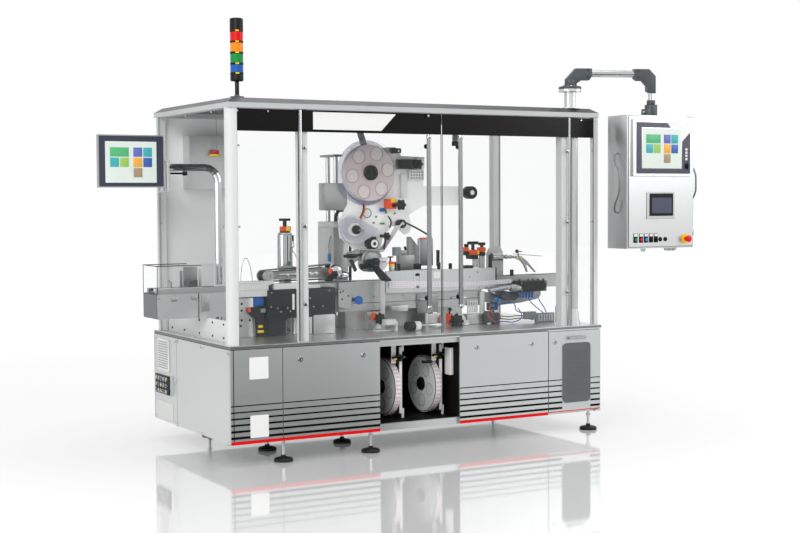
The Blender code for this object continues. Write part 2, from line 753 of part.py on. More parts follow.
def guard_door(shop, side, hinge_x, way):
    """One glazed door: its round stile turns on pins, the pane and the pull tube ride on it."""
    body = "guard_door_" + side
    y = stile_y()
    bottom, top = guard_door_bottom(), guard_door_top()
    shop.pivot(body, (hinge_x, y, (bottom + top) / 2))
    stile = rod((hinge_x, y, bottom), (hinge_x, y, top), STILE_R, 12)
    bores = [rod((hinge_x, y, bottom - BITE), (hinge_x, y, bottom + PIN_LENGTH), PIN_R + RUN, COARSE),
             rod((hinge_x, y, top - PIN_LENGTH), (hinge_x, y, top + BITE), PIN_R + RUN, COARSE)]
    shop.node(body + "_stile", "painted_frame", [stile], bores, body=body)
    start = hinge_x + way * (STILE_R + SEAT)
    end = DOOR_MEET_X - way * SWING / 2
    pane = block((min(start, end), DOOR_PANE_Y, bottom), (max(start, end), DOOR_PANE_Y + PANE_T, top))
    shop.node(body + "_pane", "glazing", [pane], body=body)
    x = DOOR_MEET_X - way * HANDLE_INSET
    tube = rod((x, HANDLE_Y, HANDLE_BOTTOM), (x, HANDLE_Y, HANDLE_TOP), HANDLE_R, 12)
    stubs = [rod((x, HANDLE_Y, z), (x, DOOR_PANE_Y - SEAT, z), HANDLE_STUB_R, COARSE)
             for z in (HANDLE_BOTTOM + HANDLE_STUB_INSET, HANDLE_TOP - HANDLE_STUB_INSET)]
    shop.node(body + "_handle", "chrome", [tube] + stubs, body=body)


def end_and_rear_panes(shop):
    bottom, top = deck_top() + SEAT, ROOF_BOTTOM
    low = POST_INSET_Y + POST + SEAT
    high = GUARD_REAR_Y - POST - SEAT
    left = POST_INSET_X + END_PANE_INSET
    shop.node("end_pane_left", "glazing", [block((left, low, bottom), (left + PANE_T, high, top))], [
        block((left - BITE, TROUGH_FRONT - SEAT, TROUGH_BOTTOM - SEAT),
              (left + PANE_T + BITE, TROUGH_BACK + SEAT, TUNNEL_TOP + SEAT)),
        rod((left - BITE, TUBE_Y, TUBE_Z), (left + PANE_T + BITE, TUBE_Y, TUBE_Z), TUBE_R + 2 * SEAT),
    ])
    right = CAB_L - POST_INSET_X - END_PANE_INSET - PANE_T
    low = POST_INSET_Y + SLIM_D + SEAT
    half = RAIL_W / 2 + OUTFEED_SIDE
    shop.node("end_pane_right", "glazing", [block((right, low, bottom), (right + PANE_T, high, top))], [
        block((right - BITE, LINE_Y - half, OUTFEED_BOTTOM),
              (right + PANE_T + BITE, LINE_Y + half, OUTFEED_TOP)),
    ])
    start = POST_INSET_X + POST + SEAT
    end = CAB_L - RIGHT_INSET - POST - SEAT
    rear = GUARD_REAR_Y - REAR_INSET
    shop.node("rear_sheet", "painted_frame",
              [block((start, rear, bottom), (REAR_SHEET_X, rear + PANE_T, top))])
    shop.node("rear_pane", "glazing",
              [block((REAR_SHEET_X + SEAT, rear, bottom), (end, rear + PANE_T, top))])
    shop.node("junction_box", "grey_casting",
              [block((JUNCTION_LEFT, rear - JUNCTION_DEPTH, JUNCTION_BOTTOM),
                     (JUNCTION_RIGHT, rear - SEAT, JUNCTION_TOP))])


def signal_tower(shop):
    base = ROOF_TOP + SEAT
    pole_top = TOWER_LAMPS_Z - base
    top = TOWER_TOP - base
    profile = [(0, 0), (TOWER_FLANGE_R, 0), (TOWER_FLANGE_R, TOWER_FLANGE_T),
               (TOWER_POLE_R, TOWER_FLANGE_T), (TOWER_POLE_R, pole_top), (TOWER_LAMP_R, pole_top),
               (TOWER_LAMP_R, top - TOWER_BEVEL), (TOWER_LAMP_R - TOWER_BEVEL, top), (0, top)]
    tower = turned(profile, (TOWER_X, TOWER_Y, base), (TOWER_X, TOWER_Y, base + 1), ROUND)
    shop.node("signal_tower", "lamp_lens", [tower], smooth=True)


# Conveyor line
def conveyor(shop):
    middle = BELT_TOP - BELT_END_R
    outer = racetrack(CONVEYOR_LEFT, CONVEYOR_RIGHT, BELT_END_R, middle)
    inner = racetrack(CONVEYOR_LEFT + BELT_T, CONVEYOR_RIGHT - BELT_T, BELT_END_R - BELT_T, middle)
    low, high = LINE_Y - BELT_W / 2, LINE_Y + BELT_W / 2
    shop.node("conveyor_belt", "belt", [prism(outer, "Y", low, high)],
              [prism(inner, "Y", low - BITE, high + BITE)])
    front, back = LINE_Y - RAIL_W / 2, LINE_Y + RAIL_W / 2
    body_front, body_back = LINE_Y - BODY_W / 2, LINE_Y + BODY_W / 2
    under = rail_bottom()
    over = BELT_TOP + RAIL_OVER
    roller_r = BELT_END_R - BELT_T - 2 * SEAT
    solids = [
        block((CONVEYOR_LEFT, front, under), (CONVEYOR_RIGHT, low - SEAT, over)),
        block((CONVEYOR_LEFT, high + SEAT, under), (CONVEYOR_RIGHT, back, over)),
        block((CONVEYOR_LEFT + 2 * BELT_END_R, low - BITE, BELT_TOP - 2 * BELT_END_R + BELT_T + SEAT),
              (CONVEYOR_RIGHT - 2 * BELT_END_R, high + BITE, BELT_TOP - BELT_T - SEAT)),
        block((BODY_LEFT, body_front, BODY_BOTTOM), (BODY_RIGHT, body_back, under + BITE)),
        block((BODY_LEFT, body_front, under), (BODY_RIGHT, front + BITE, over)),
        block((BODY_LEFT, back - BITE, under), (BODY_RIGHT, body_back, over)),
    ]
    for x in (CONVEYOR_LEFT + BELT_END_R, CONVEYOR_RIGHT - BELT_END_R):
        solids.append(rod((x, front + BITE, middle), (x, back - BITE, middle), roller_r))
    for x in LEGS_X:
        carried = BODY_BOTTOM if BODY_LEFT < x < BODY_RIGHT else under
        solids.append(block((x - LEG_W / 2, LINE_Y - LEG_D / 2, deck_top() + SEAT),
                            (x + LEG_W / 2, LINE_Y + LEG_D / 2, carried + BITE)))
    shop.node("conveyor_frame", "stainless", solids)


def rail_bottom():
    return BELT_TOP - 2 * BELT_END_R - RAIL_UNDER


def infeed(shop):
    tray = block((TROUGH_LEFT, TROUGH_FRONT, TROUGH_BOTTOM), (TROUGH_RIGHT, TROUGH_BACK, TROUGH_TOP))
    inside = block((TROUGH_LEFT + TROUGH_T, TROUGH_FRONT + TROUGH_T, TROUGH_BOTTOM + TROUGH_T),
                   (TROUGH_RIGHT + BITE, TROUGH_BACK - TROUGH_T, TROUGH_TOP + BITE))
    shop.node("infeed_trough", "stainless", [tray], [inside])
    outer = block((TUNNEL_LEFT, TROUGH_FRONT, TROUGH_TOP + SEAT), (TROUGH_RIGHT, TROUGH_BACK, TUNNEL_TOP))
    space = block((TUNNEL_LEFT - BITE, TROUGH_FRONT + TUNNEL_T, TROUGH_TOP - BITE),
                  (TROUGH_RIGHT + BITE, TROUGH_BACK - TUNNEL_T, TUNNEL_TOP - TUNNEL_T))
    shop.node("infeed_tunnel", "glazing", [outer], [space])


def screw_housing(shop):
    top = rail_bottom() - SEAT
    rail_front = LINE_Y - RAIL_W / 2
    hull = block((SCREW_LEFT, SCREW_FRONT, SCREW_BOTTOM), (SCREW_RIGHT, LINE_Y + RAIL_W / 2, top))
    lip = block((SCREW_LEFT, SCREW_FRONT, top - BITE), (SCREW_RIGHT, rail_front - SEAT, SCREW_LIP_TOP))
    legs = [block((x, SCREW_FRONT + SCREW_LEG_INSET, deck_top() + SEAT),
                  (x + SCREW_LEG_W, SCREW_FRONT + SCREW_LEG_INSET + SCREW_LEG_W, SCREW_BOTTOM + BITE))
            for x in (SCREW_LEFT + SCREW_LEG_INSET, SCREW_RIGHT - SCREW_LEG_INSET - SCREW_LEG_W)]
    shop.node("screw_housing", "black", [hull, lip] + legs)


def hold_down(shop):
    outline = racetrack(HOLD_LEFT - HOLD_R, HOLD_RIGHT + HOLD_R, HOLD_R, HOLD_Z, 6)
    back = HOLD_FRONT + HOLD_W
    press = prism(outline, "Y", HOLD_FRONT, back)
    motor = rod((HOLD_MOTOR_X, HOLD_FRONT - HOLD_MOTOR_L, HOLD_MOTOR_Z),
                (HOLD_MOTOR_X, HOLD_FRONT + BITE, HOLD_MOTOR_Z), HOLD_MOTOR_R)
    bracket = block((ADJUSTER_X - ADJUSTER_R, back - BITE, HOLD_Z - HOLD_R / 2),
                    (ADJUSTER_X + ADJUSTER_R, ADJUSTER_Y - ADJUSTER_R - SEAT, HOLD_Z + HOLD_R))
    shop.node("hold_down_belt", "anodised", [press, motor, bracket])


def height_adjuster(shop):
    base = deck_top() + SEAT
    knob_low = ADJUSTER_KNOB_TOP - ADJUSTER_KNOB_T
    steps = [(0, base), (ADJUSTER_FOOT_R, base), (ADJUSTER_FOOT_R, ADJUSTER_BOTTOM),
             (ADJUSTER_R, ADJUSTER_BOTTOM), (ADJUSTER_R, ADJUSTER_TOP), (ADJUSTER_CAP_R, ADJUSTER_TOP),
             (ADJUSTER_CAP_R, ADJUSTER_DIAL_TOP), (ADJUSTER_SPINDLE_R, ADJUSTER_DIAL_TOP),
             (ADJUSTER_SPINDLE_R, knob_low), (ADJUSTER_KNOB_R, knob_low),
             (ADJUSTER_KNOB_R, ADJUSTER_KNOB_TOP), (0, ADJUSTER_KNOB_TOP)]
    column = turned(steps, (ADJUSTER_X, ADJUSTER_Y, 0), (ADJUSTER_X, ADJUSTER_Y, 1), ROUND)
    shop.node("height_adjuster", "chrome", [column], smooth=True)


# Label head
def head_column(shop):
    low, high = COLUMN_Y - COLUMN_D / 2, COLUMN_Y + COLUMN_D / 2
    left, right = COLUMN_X - COLUMN_W / 2, COLUMN_X + COLUMN_W / 2
    box = block((left, low, deck_top() + SEAT), (right, high, COLUMN_TOP))
    rods = [rod((COLUMN_X, y, COLUMN_TOP - BITE), (COLUMN_X, y, ROD_TOP), ROD_R, COARSE)
            for y in (COLUMN_Y - ROD_SPREAD / 2, COLUMN_Y + ROD_SPREAD / 2)]
    cap = block((left + ROD_CAP_INSET, low - ROD_CAP_INSET, ROD_TOP - BITE),
                (right - ROD_CAP_INSET, high, ROD_TOP + ROD_CAP_T))
    front = HEAD_Y + HEAD_T + SEAT
    back = COLUMN_Y + ROD_SPREAD / 2 + CARRIAGE_BACK
    plate = block((CARRIAGE_LEFT, front, CARRIAGE_BOTTOM), (CARRIAGE_RIGHT, front + CARRIAGE_D, CARRIAGE_TOP))
    slide = block((left, front + CARRIAGE_D - BITE, CARRIAGE_BOTTOM), (right, back, CARRIAGE_TOP))
    shop.node("head_column", "anodised", [box, cap, plate, slide] + rods)


def head_plate(shop):
    low, high = HEAD_Y, HEAD_Y + HEAD_T
    arm = block((HEAD_ARM_START, low, HEAD_ARM_Z - HEAD_ARM_H / 2),
                (HEAD_ARM_END, high, HEAD_ARM_Z + HEAD_ARM_H / 2))
    solids = [prism(HEAD_OUTLINE, "Y", low, high), arm]
    for x, z, width in ((REEL_X, REEL_Z, REEL_ROLL_W), (REWIND_X, REWIND_Z, REWIND_W)):
        solids.append(rod((x, low - width - SPINDLE_PROUD, z), (x, low + BITE, z), SPINDLE_R, COARSE))
    for x, z, radius, length in ROLLERS:
        solids.append(rod((x, low - length, z), (x, low + BITE, z), radius, 12))
    shop.node("head_plate", "white_plate", solids)


def reel(shop, body, x, z, sizes, finish):
    """A reel on a spindle along Y: clear disc at the back, roll, hub in front, blind bore behind."""
    disc_r, disc_t, roll_r, roll_w, hub_r, hub_w = sizes
    back = HEAD_Y - SWING
    profile = [(0, 0), (disc_r, 0), (disc_r, disc_t), (roll_r, disc_t), (roll_r, roll_w),
               (hub_r, roll_w), (hub_r, roll_w + hub_w), (0, roll_w + hub_w)]
    bore = rod((x, back + BITE, z), (x, back - roll_w - BORE_PROUD, z), SPINDLE_R + RUN)
    shop.pivot(body, (x, back, z))
    shop.node(body, finish, [turned(profile, (x, back, z), (x, back - 1, z), FINE)], [bore], body=body)


def applicator(shop):
    low = PEEL_FRONT
    high = PEEL_FRONT + PEEL_W
    (arm_left, arm_low), (arm_right, arm_high) = PEEL_ARM
    (hanger_left, hanger_low), (hanger_right, hanger_high) = PEEL_HANGER
    bar = prism(PEEL_BAR, "Y", low, high)
    arm = block((arm_left, low, arm_low), (arm_right, high, arm_high))
    hanger = block((hanger_left, high - BITE, hanger_low), (hanger_right, HEAD_Y - SEAT, hanger_high))
    shop.node("peel_bar", "black", [bar, arm, hanger])


def label_plate(shop):
    high = PLATE_FRONT + PLATE_T
    plate = block((PLATE_LEFT, PLATE_FRONT, PLATE_BOTTOM), (PLATE_RIGHT, high, PLATE_TOP))
    reach = LINE_Y - BODY_W / 2 - SEAT
    brackets = [block((x, high - BITE, PLATE_BRACKET_Z[0]), (x + PLATE_BRACKET_W, reach, PLATE_BRACKET_Z[1]))
                for x in PLATE_BRACKETS_X]
    shop.node("label_plate", "stainless", [plate] + brackets)


def outfeed_box(shop):
    front = LINE_Y - RAIL_W / 2 - SEAT
    shop.node("outfeed_valve_box", "black",
              [block((VALVE_BOX_X[0], front - VALVE_BOX_D, VALVE_BOX_Z[0]),
                     (VALVE_BOX_X[1], front, VALVE_BOX_Z[1]))])


# Reel bay
def unwinders(shop):
    bottom = BAY_FLOOR + SEAT
    for number, x in enumerate(UNWIND_PLATES_X, 1):
        body = f"unwind_reel_{number}"
        plate = block((x, UNWIND_FRONT, bottom), (x + UNWIND_PLATE_T, UNWIND_BACK, BAY_CEILING - SEAT))
        face = x - UNWIND_GAP
        spindle = rod((face - UNWIND_REEL_W + SWING, UNWIND_REEL_Y, UNWIND_REEL_Z),
                      (x + BITE, UNWIND_REEL_Y, UNWIND_REEL_Z), SPINDLE_R, COARSE)
        shop.node(f"unwind_plate_{number}", "white_plate", [plate, spindle])
        tip = UNWIND_REEL_W + UNWIND_HUB_W
        profile = [(0, 0), (UNWIND_REEL_R, 0), (UNWIND_REEL_R, UNWIND_REEL_W),
                   (UNWIND_HUB_R, UNWIND_REEL_W), (UNWIND_HUB_R, tip), (0, tip)]
        centre = Vector((face, UNWIND_REEL_Y, UNWIND_REEL_Z))
        roll = turned(profile, centre, centre - Vector((1, 0, 0)), FINE)
        bore = rod(centre + Vector((BITE, 0, 0)), centre - Vector((UNWIND_REEL_W, 0, 0)), SPINDLE_R + RUN)
        shop.pivot(body, centre)
        shop.node(body, "label_roll", [roll], [bore], body=body)


# Monitor and control cabinet
def monitor(shop):
    base = deck_top() + SEAT
    bend = [(TUBE_X - TUBE_BEND + x, TUBE_Y, z) for x, z in
            arc((0, TUBE_Z - TUBE_BEND), TUBE_BEND, 0, 90, 5)]
    route = [(TUBE_X, TUBE_Y, base + TUBE_FOOT_T - BITE)] + bend + [(TUBE_LEFT, TUBE_Y, TUBE_Z)]
    tube = swept(route, TUBE_R, 12)
    flange = rod((TUBE_X, TUBE_Y, base), (TUBE_X, TUBE_Y, base + TUBE_FOOT_T), TUBE_FOOT_R)
    # Fork around the knuckle
    front, back = TUBE_Y - KNUCKLE_R, TUBE_Y + KNUCKLE_R
    fork_low, fork_high = KNUCKLE_BOTTOM - RUN - FORK_T, KNUCKLE_TOP + RUN + FORK_T
    ears = [block((MONITOR_PIVOT_X - KNUCKLE_R, front, low), (TUBE_LEFT + BITE, back, low + FORK_T))
            for low in (fork_low, fork_high - FORK_T)]
    web = block((TUBE_LEFT - FORK_T / 2, front, fork_low), (TUBE_LEFT + FORK_T / 2, back, fork_high))
    shop.node("monitor_tube", "chrome", [tube, flange, web] + ears)
    shop.pivot("monitor", (MONITOR_PIVOT_X, TUBE_Y, TUBE_Z))
    low, high = TUBE_Z - MONITOR_ARM_H / 2, TUBE_Z + MONITOR_ARM_H / 2
    case_back = MONITOR_FRONT + MONITOR_T
    rim_back = MONITOR_FRONT + MONITOR_RIM_T
    arm_left = MONITOR_RIGHT - MONITOR_ARM_L
    solids = [
        block((MONITOR_LEFT, MONITOR_FRONT, MONITOR_BOTTOM), (MONITOR_RIGHT, rim_back, MONITOR_TOP)),
        block((MONITOR_LEFT + MONITOR_RIM, rim_back - BITE, MONITOR_BOTTOM + MONITOR_RIM),
              (MONITOR_RIGHT - MONITOR_RIM, case_back, MONITOR_TOP - MONITOR_RIM)),
        block((arm_left, case_back - BITE, low), (arm_left + MONITOR_ARM_W, TUBE_Y, high)),
        block((arm_left, TUBE_Y - MONITOR_ARM_T / 2, low),
              (MONITOR_PIVOT_X, TUBE_Y + MONITOR_ARM_T / 2, high)),
        rod((MONITOR_PIVOT_X, TUBE_Y, KNUCKLE_BOTTOM), (MONITOR_PIVOT_X, TUBE_Y, KNUCKLE_TOP), KNUCKLE_R, 12),
    ]
    shop.node("monitor_housing", "anodised", solids, body="monitor")


def mast(shop):
    """A tube on the deck that ends in the roof, and a stub on the roof that carries the arm."""
    base = deck_top() + SEAT
    roof_top = ROOF_TOP + SEAT
    tip = roof_top + STUB_FOOT_T / 2 - base
    lower = [(0, 0), (MAST_FOOT_R, 0), (MAST_R, MAST_FOOT_H), (MAST_R, tip), (0, tip)]
    top = MAST_TOP - roof_top
    upper = [(0, 0), (STUB_FOOT_R, 0), (STUB_FOOT_R, STUB_FOOT_T), (STUB_R, STUB_FOOT_T),
             (STUB_R, top - MAST_FLANGE_T), (MAST_FLANGE_R, top - MAST_FLANGE_T),
             (MAST_FLANGE_R, top), (0, top)]
    shop.node("mast", "stainless", [
        turned(lower, (MAST_X, MAST_Y, base), (MAST_X, MAST_Y, base + 1), ROUND),
        turned(upper, (SWIVEL_X, MAST_Y, roof_top), (SWIVEL_X, MAST_Y, roof_top + 1), ROUND),
    ], smooth=True)


def arm_end():
    return Vector((SWIVEL_X + ARM_REACH * math.cos(ARM_TURN), MAST_Y + ARM_REACH * math.sin(ARM_TURN), 0.0))


def swing_arm(shop):
    up = Vector((0, 0, 1))
    way = Vector((math.cos(ARM_TURN), math.sin(ARM_TURN), 0))
    foot = Vector((SWIVEL_X, MAST_Y, MAST_TOP + SEAT))
    bend = Vector((SWIVEL_X, MAST_Y, ARM_Z))
    far = arm_end() + up * ARM_Z
    flange = rod(foot, foot + up * FLANGE_T, MAST_FLANGE_R, ROUND)
    collar = rod(foot + up * (FLANGE_T - BITE), foot + up * COLLAR_T, STUB_R * 1.25)
    near_elbow = swept([foot + up * (COLLAR_T - BITE), bend - up * ELBOW, bend + way * ELBOW,
                        bend + way * ELBOW_RUN], ELBOW, 8)
    far_elbow = swept([far - way * ELBOW_RUN, far - way * ELBOW, far - up * ELBOW, far - up * ELBOW_DROP],
                      ELBOW, 8)
    tube = rod(bend + way * (ELBOW_RUN - BITE), far - way * (ELBOW_RUN - BITE), ARM_R, 12)
    neck = rod(far - up * (ELBOW_DROP - BITE), arm_end() + up * (NECK_TOP - SOCKET_H), NECK_R, 12)
    shop.pivot("swing_arm", foot)
    solids = [flange, collar, near_elbow, tube, far_elbow, neck]
    shop.node("swing_arm", "grey_casting", solids, body="swing_arm")


def control_cabinet(shop):
    end = arm_end()
    socket_top = NECK_TOP - SOCKET_H - SEAT
    shop.pivot("control_cabinet", (end.x, end.y, socket_top), under="swing_arm")
    turn = Matrix.Translation(end) @ Matrix.Rotation(CABINET_TURN, 4, "Z")
    half_w, half_d = CABINET_W / 2, CABINET_D / 2
    hull = block((-half_w, -half_d, CABINET_BOTTOM), (half_w, half_d, CABINET_TOP))
    socket = rod((0, 0, CABINET_TOP - BITE), (0, 0, socket_top), SOCKET_R)
    for shape in (hull, socket):
        bmesh.ops.transform(shape, matrix=turn, verts=shape.verts)
    bows = []
    for way in (-1, 1):
        start = way * (half_w - BITE)
        out = way * (half_w + BOW_PROUD)
        bows.append(swept([(start, 0, BOW_TOP), (out, 0, BOW_TOP - BOW_PROUD),
                           (out, 0, BOW_BOTTOM + BOW_PROUD), (start, 0, BOW_BOTTOM)], BOW_R, 8))
        bmesh.ops.transform(bows[-1], matrix=turn, verts=bows[-1].verts)
    shop.node("control_cabinet", "stainless", [hull, socket] + bows, body="control_cabinet")


def build():
    clear_scene()
    shop = Shop()
    base_frame(shop)
    deck_plate(shop)
    front_panels(shop)
    service_door(shop)
    end_and_rear_panels(shop)
    posts(shop)
    roof(shop)
    front_panes(shop)
    guard_door(shop, "left", HINGE_LEFT_X, 1)
    guard_door(shop, "right", HINGE_RIGHT_X, -1)
    end_and_rear_panes(shop)
    signal_tower(shop)
    conveyor(shop)
    infeed(shop)
    screw_housing(shop)
    hold_down(shop)
    height_adjuster(shop)
    head_column(shop)
    head_plate(shop)
    reel(shop, "label_reel", REEL_X, REEL_Z,
         (REEL_DISC_R, REEL_DISC_T, REEL_ROLL_R, REEL_ROLL_W, REEL_HUB_R, REEL_HUB_W), "label_roll")
    reel(shop, "rewind_reel", REWIND_X, REWIND_Z,
         (REWIND_R, REEL_DISC_T, REWIND_HUB_R, REWIND_W, REWIND_HUB_R, REWIND_HUB_W), "label_roll")
    applicator(shop)
    label_plate(shop)
    outfeed_box(shop)
    unwinders(shop)
    monitor(shop)
    mast(shop)
    swing_arm(shop)
    control_cabinet(shop)


build()
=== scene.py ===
# %% [markdown]
# # A labelling machine for a packaging line
# The machine stands on levelling feet: a brushed stainless cabinet, a glazed guard over a conveyor,
# a label head hung from a column, a control cabinet on a swing arm and a small monitor at the
# infeed. The CAD model comes in as a fixed frame. This script gives its nodes their finish and adds
# the fine pieces. All lengths are metres. +X runs to the outfeed, +Z is up, the operator stands at
# -Y.

# %% Tools and frame
import math
from fnmatch import fnmatch

import bmesh
import bpy
from mathutils import Matrix, Vector


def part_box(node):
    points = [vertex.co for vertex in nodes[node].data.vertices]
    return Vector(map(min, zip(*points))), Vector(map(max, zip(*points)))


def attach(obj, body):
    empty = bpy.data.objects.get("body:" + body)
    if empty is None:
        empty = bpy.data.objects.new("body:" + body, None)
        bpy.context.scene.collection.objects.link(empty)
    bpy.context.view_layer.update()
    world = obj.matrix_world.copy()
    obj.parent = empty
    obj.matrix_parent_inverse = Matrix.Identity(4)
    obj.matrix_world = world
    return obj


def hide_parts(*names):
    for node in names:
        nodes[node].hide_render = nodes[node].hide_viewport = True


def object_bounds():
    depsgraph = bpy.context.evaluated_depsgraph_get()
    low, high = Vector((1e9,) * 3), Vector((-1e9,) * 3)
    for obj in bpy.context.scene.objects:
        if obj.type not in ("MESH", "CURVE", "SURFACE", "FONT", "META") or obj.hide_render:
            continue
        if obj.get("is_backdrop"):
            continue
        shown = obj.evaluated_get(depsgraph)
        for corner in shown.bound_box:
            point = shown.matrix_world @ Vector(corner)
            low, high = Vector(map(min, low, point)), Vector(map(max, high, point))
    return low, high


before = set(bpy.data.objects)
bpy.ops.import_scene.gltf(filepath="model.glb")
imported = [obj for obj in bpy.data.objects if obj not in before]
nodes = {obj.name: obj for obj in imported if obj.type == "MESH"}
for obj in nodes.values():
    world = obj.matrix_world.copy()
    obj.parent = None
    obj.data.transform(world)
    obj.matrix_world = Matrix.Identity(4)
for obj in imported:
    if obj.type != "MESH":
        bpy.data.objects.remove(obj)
CAD_LOW, CAD_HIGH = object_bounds()
print("CAD box", [round(v, 3) for v in (*CAD_LOW, *CAD_HIGH)])

# %% [markdown]
# The shop drawing measures from the cabinet's front left edge on the floor, as a fitter would with
# a tape. The deck plate covers the whole cabinet, so its low corner says where that edge is in the
# frame. Every place below is given on this drawing, and `HERE` moves a finished mesh into the
# frame.

# %% Drawing corner
deck_low, deck_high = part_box("deck_plate")
HERE = Vector((deck_low.x, deck_low.y, 0.0))
CABINET_LENGTH = deck_high.x - deck_low.x
ON_DECK = 0.7255          # where pieces that stand on the deck plate begin
print("cabinet length", round(CABINET_LENGTH, 3))

# %% [markdown]
# ## Camera
# A picture of a machine says where the camera stood: lines along the belt and lines up the posts
# meet in their vanishing points. The place and the three directions below were fitted to such
# lines, and the lens comes from the picture's width in focal lengths.

# %% Camera
CAMERA_PLACE = Vector((-3.26785, -7.79442, 1.59317))
LOOK = Vector((0.49323, 0.8686, -0.04746)).normalized()
CAMERA_UP = Vector((0.02796, 0.0387, 0.99886)).normalized()
SENSOR = 36.0
FOCAL_PIXELS = 1423.28
PICTURE_WIDTH = 800.0
FAR_CLIP = 60.0

lens = bpy.data.cameras.new("camera")
lens.sensor_width = SENSOR
lens.lens = FOCAL_PIXELS / PICTURE_WIDTH * SENSOR
lens.clip_end = FAR_CLIP
camera = bpy.data.objects.new("camera", lens)
side = LOOK.cross(CAMERA_UP).normalized()
camera.matrix_world = Matrix((side, side.cross(LOOK), -LOOK)).transposed().to_4x4()
camera.location = CAMERA_PLACE + HERE
bpy.context.collection.objects.link(camera)
bpy.context.scene.camera = camera
print("lens", round(lens.lens, 1), "mm")

# %% [markdown]
# ## Shader maths
# A node tree reads badly when each sum takes three lines. A socket is wrapped in a small class that
# knows plus and times, so `base + grain * 0.1` adds its Math nodes by itself. Every other node
# comes from one method that takes the node's type, its settings and its sockets.


# %% Sockets that do sums
class Value:
    """A number on a surface: an output socket with the operators that the looks use."""

    def __init__(self, look, socket):
        self.look = look
        self.socket = socket

    def math(self, operation, other):
        return self.look.node("ShaderNodeMath", {"operation": operation}, {0: self, 1: other})

    def __add__(self, other):
        return self.math("ADD", other)

    def __mul__(self, other):
        return self.math("MULTIPLY", other)


class Look:
    """One finish: a Principled material, and the methods that fill its tree."""

    def __init__(self, name, colour, rough, metal=0.0, **sockets):
        self.material = bpy.data.materials.new(name)
        self.material.use_nodes = True
        self.tree = self.material.node_tree
        self.shader = self.tree.nodes["Principled BSDF"]
        self.colour = (*colour, 1.0)
        self.set("Base Color", self.colour)
        self.set("Roughness", rough)
        self.set("Metallic", metal)
        for socket, value in sockets.items():
            self.set(socket.replace("_", " "), value)

    def set(self, socket, value):
        if isinstance(value, Value):
            self.tree.links.new(value.socket, self.shader.inputs[socket])
        else:
            self.shader.inputs[socket].default_value = value

    def node(self, kind, settings=(), inputs=(), output=0):
        made = self.tree.nodes.new(kind)
        for key, value in dict(settings).items():
            setattr(made, key, value)
        for key, value in dict(inputs).items():
            if isinstance(value, Value):
                self.tree.links.new(value.socket, made.inputs[key])
            else:
                made.inputs[key].default_value = value
        return Value(self, made.outputs[output])

    def place(self, scale=(1, 1, 1)):
        where = self.node("ShaderNodeTexCoord", output="Object")
        return self.node("ShaderNodeMapping", inputs={"Vector": where, "Scale": scale})

    def noise(self, size, detail=2.0, stretch=(1, 1, 1)):
        scale = [way / size for way in stretch]
        settings = {"Vector": self.place(scale), "Scale": 1.0, "Detail": detail}
        return self.node("ShaderNodeTexNoise", inputs=settings)

    def tint(self, mask, other):
        """Mix the finish's own colour with another by a mask."""
        return self.node("ShaderNodeMix", {"data_type": "RGBA"},
            {"Factor": mask, 6: self.colour, 7: (*other, 1.0)}, output=2)

    def bump(self, height, depth, strength=0.5):
        self.set("Normal", self.node("ShaderNodeBump",
            inputs={"Height": height, "Distance": depth, "Strength": strength}))


# %% [markdown]
# ## Finishes
# Brushed sheet is steel rubbed in one direction: its grain is a noise pulled out along the brush
# line, and it changes the roughness more than the colour. A second, wide noise gives the soft
# clouds that large sheets show. Paint has a fine orange peel instead, plastic a faint pebble,
# rubber a coarse one.


# %% Finish makers
STREAK, STREAK_DEPTH, STREAK_ROUGH = 0.004, 0.0004, 0.16      # brush lines: width, depth, roughness
CLOUD_SHARE, STREAK_SHARE, RUBBED = 0.55, 0.35, 0.86         # how far each darkens, and how dark
PEEL_DEPTH, WEAR, WEAR_ROUGH = 0.0002, 0.25, 0.14            # paint: orange peel and wear
PEBBLE_DEPTH, HANDLED, HANDLED_ROUGH = 0.00015, 0.08, 0.2    # plastic: pebble and handling
ACRYLIC_IOR, FILM_SIZE, FILM_ROUGH = 1.49, 0.35, 0.05        # clear sheet: a thin uneven film


def brushed(name, colour, rough, grain=(0.02, 1, 1), cloud=0.9, metal=0.9):
    look = Look(name, colour, rough, metal)
    streaks = look.noise(STREAK, 3.0, grain)
    clouds = look.noise(cloud, 1.0)
    darker = [part * RUBBED for part in colour]
    look.set("Base Color", look.tint(clouds * CLOUD_SHARE + streaks * STREAK_SHARE, darker))
    look.set("Roughness", streaks * STREAK_ROUGH + (rough - STREAK_ROUGH / 2))
    look.bump(streaks, STREAK_DEPTH, 0.25)
    return look


def painted(name, colour, rough=0.45, peel=0.006, metal=0.0, dust=0.9, gloss=0.5):
    look = Look(name, colour, rough, metal, **{"Specular IOR Level": gloss})
    skin = look.noise(peel, 1.0)
    wear = look.noise(WEAR, 3.0)
    look.set("Base Color", look.tint(wear * 0.6, [part * dust for part in colour]))
    look.set("Roughness", wear * WEAR_ROUGH + (rough - WEAR_ROUGH / 2))
    look.bump(skin, PEEL_DEPTH, 0.3)
    return look


def plastic(name, colour, rough=0.4, pebble=0.003, gloss=0.25):
    look = Look(name, colour, rough, **{"Specular IOR Level": gloss})
    grain = look.noise(pebble, 2.0)
    handled = look.noise(HANDLED, 2.0)
    look.set("Base Color", look.tint(handled * 0.5, [part * 0.85 + 0.002 for part in colour]))
    look.set("Roughness", handled * HANDLED_ROUGH + (rough - HANDLED_ROUGH / 2))
    look.bump(grain, PEBBLE_DEPTH, 0.3)
    return look


def clear(name, colour, alpha, rough=0.03):
    look = Look(name, colour, rough, Alpha=alpha, IOR=ACRYLIC_IOR)
    film = look.noise(FILM_SIZE, 2.0)
    look.set("Roughness", film * FILM_ROUGH + rough)
    look.set("Alpha", film * alpha + alpha * 0.5)
    return look


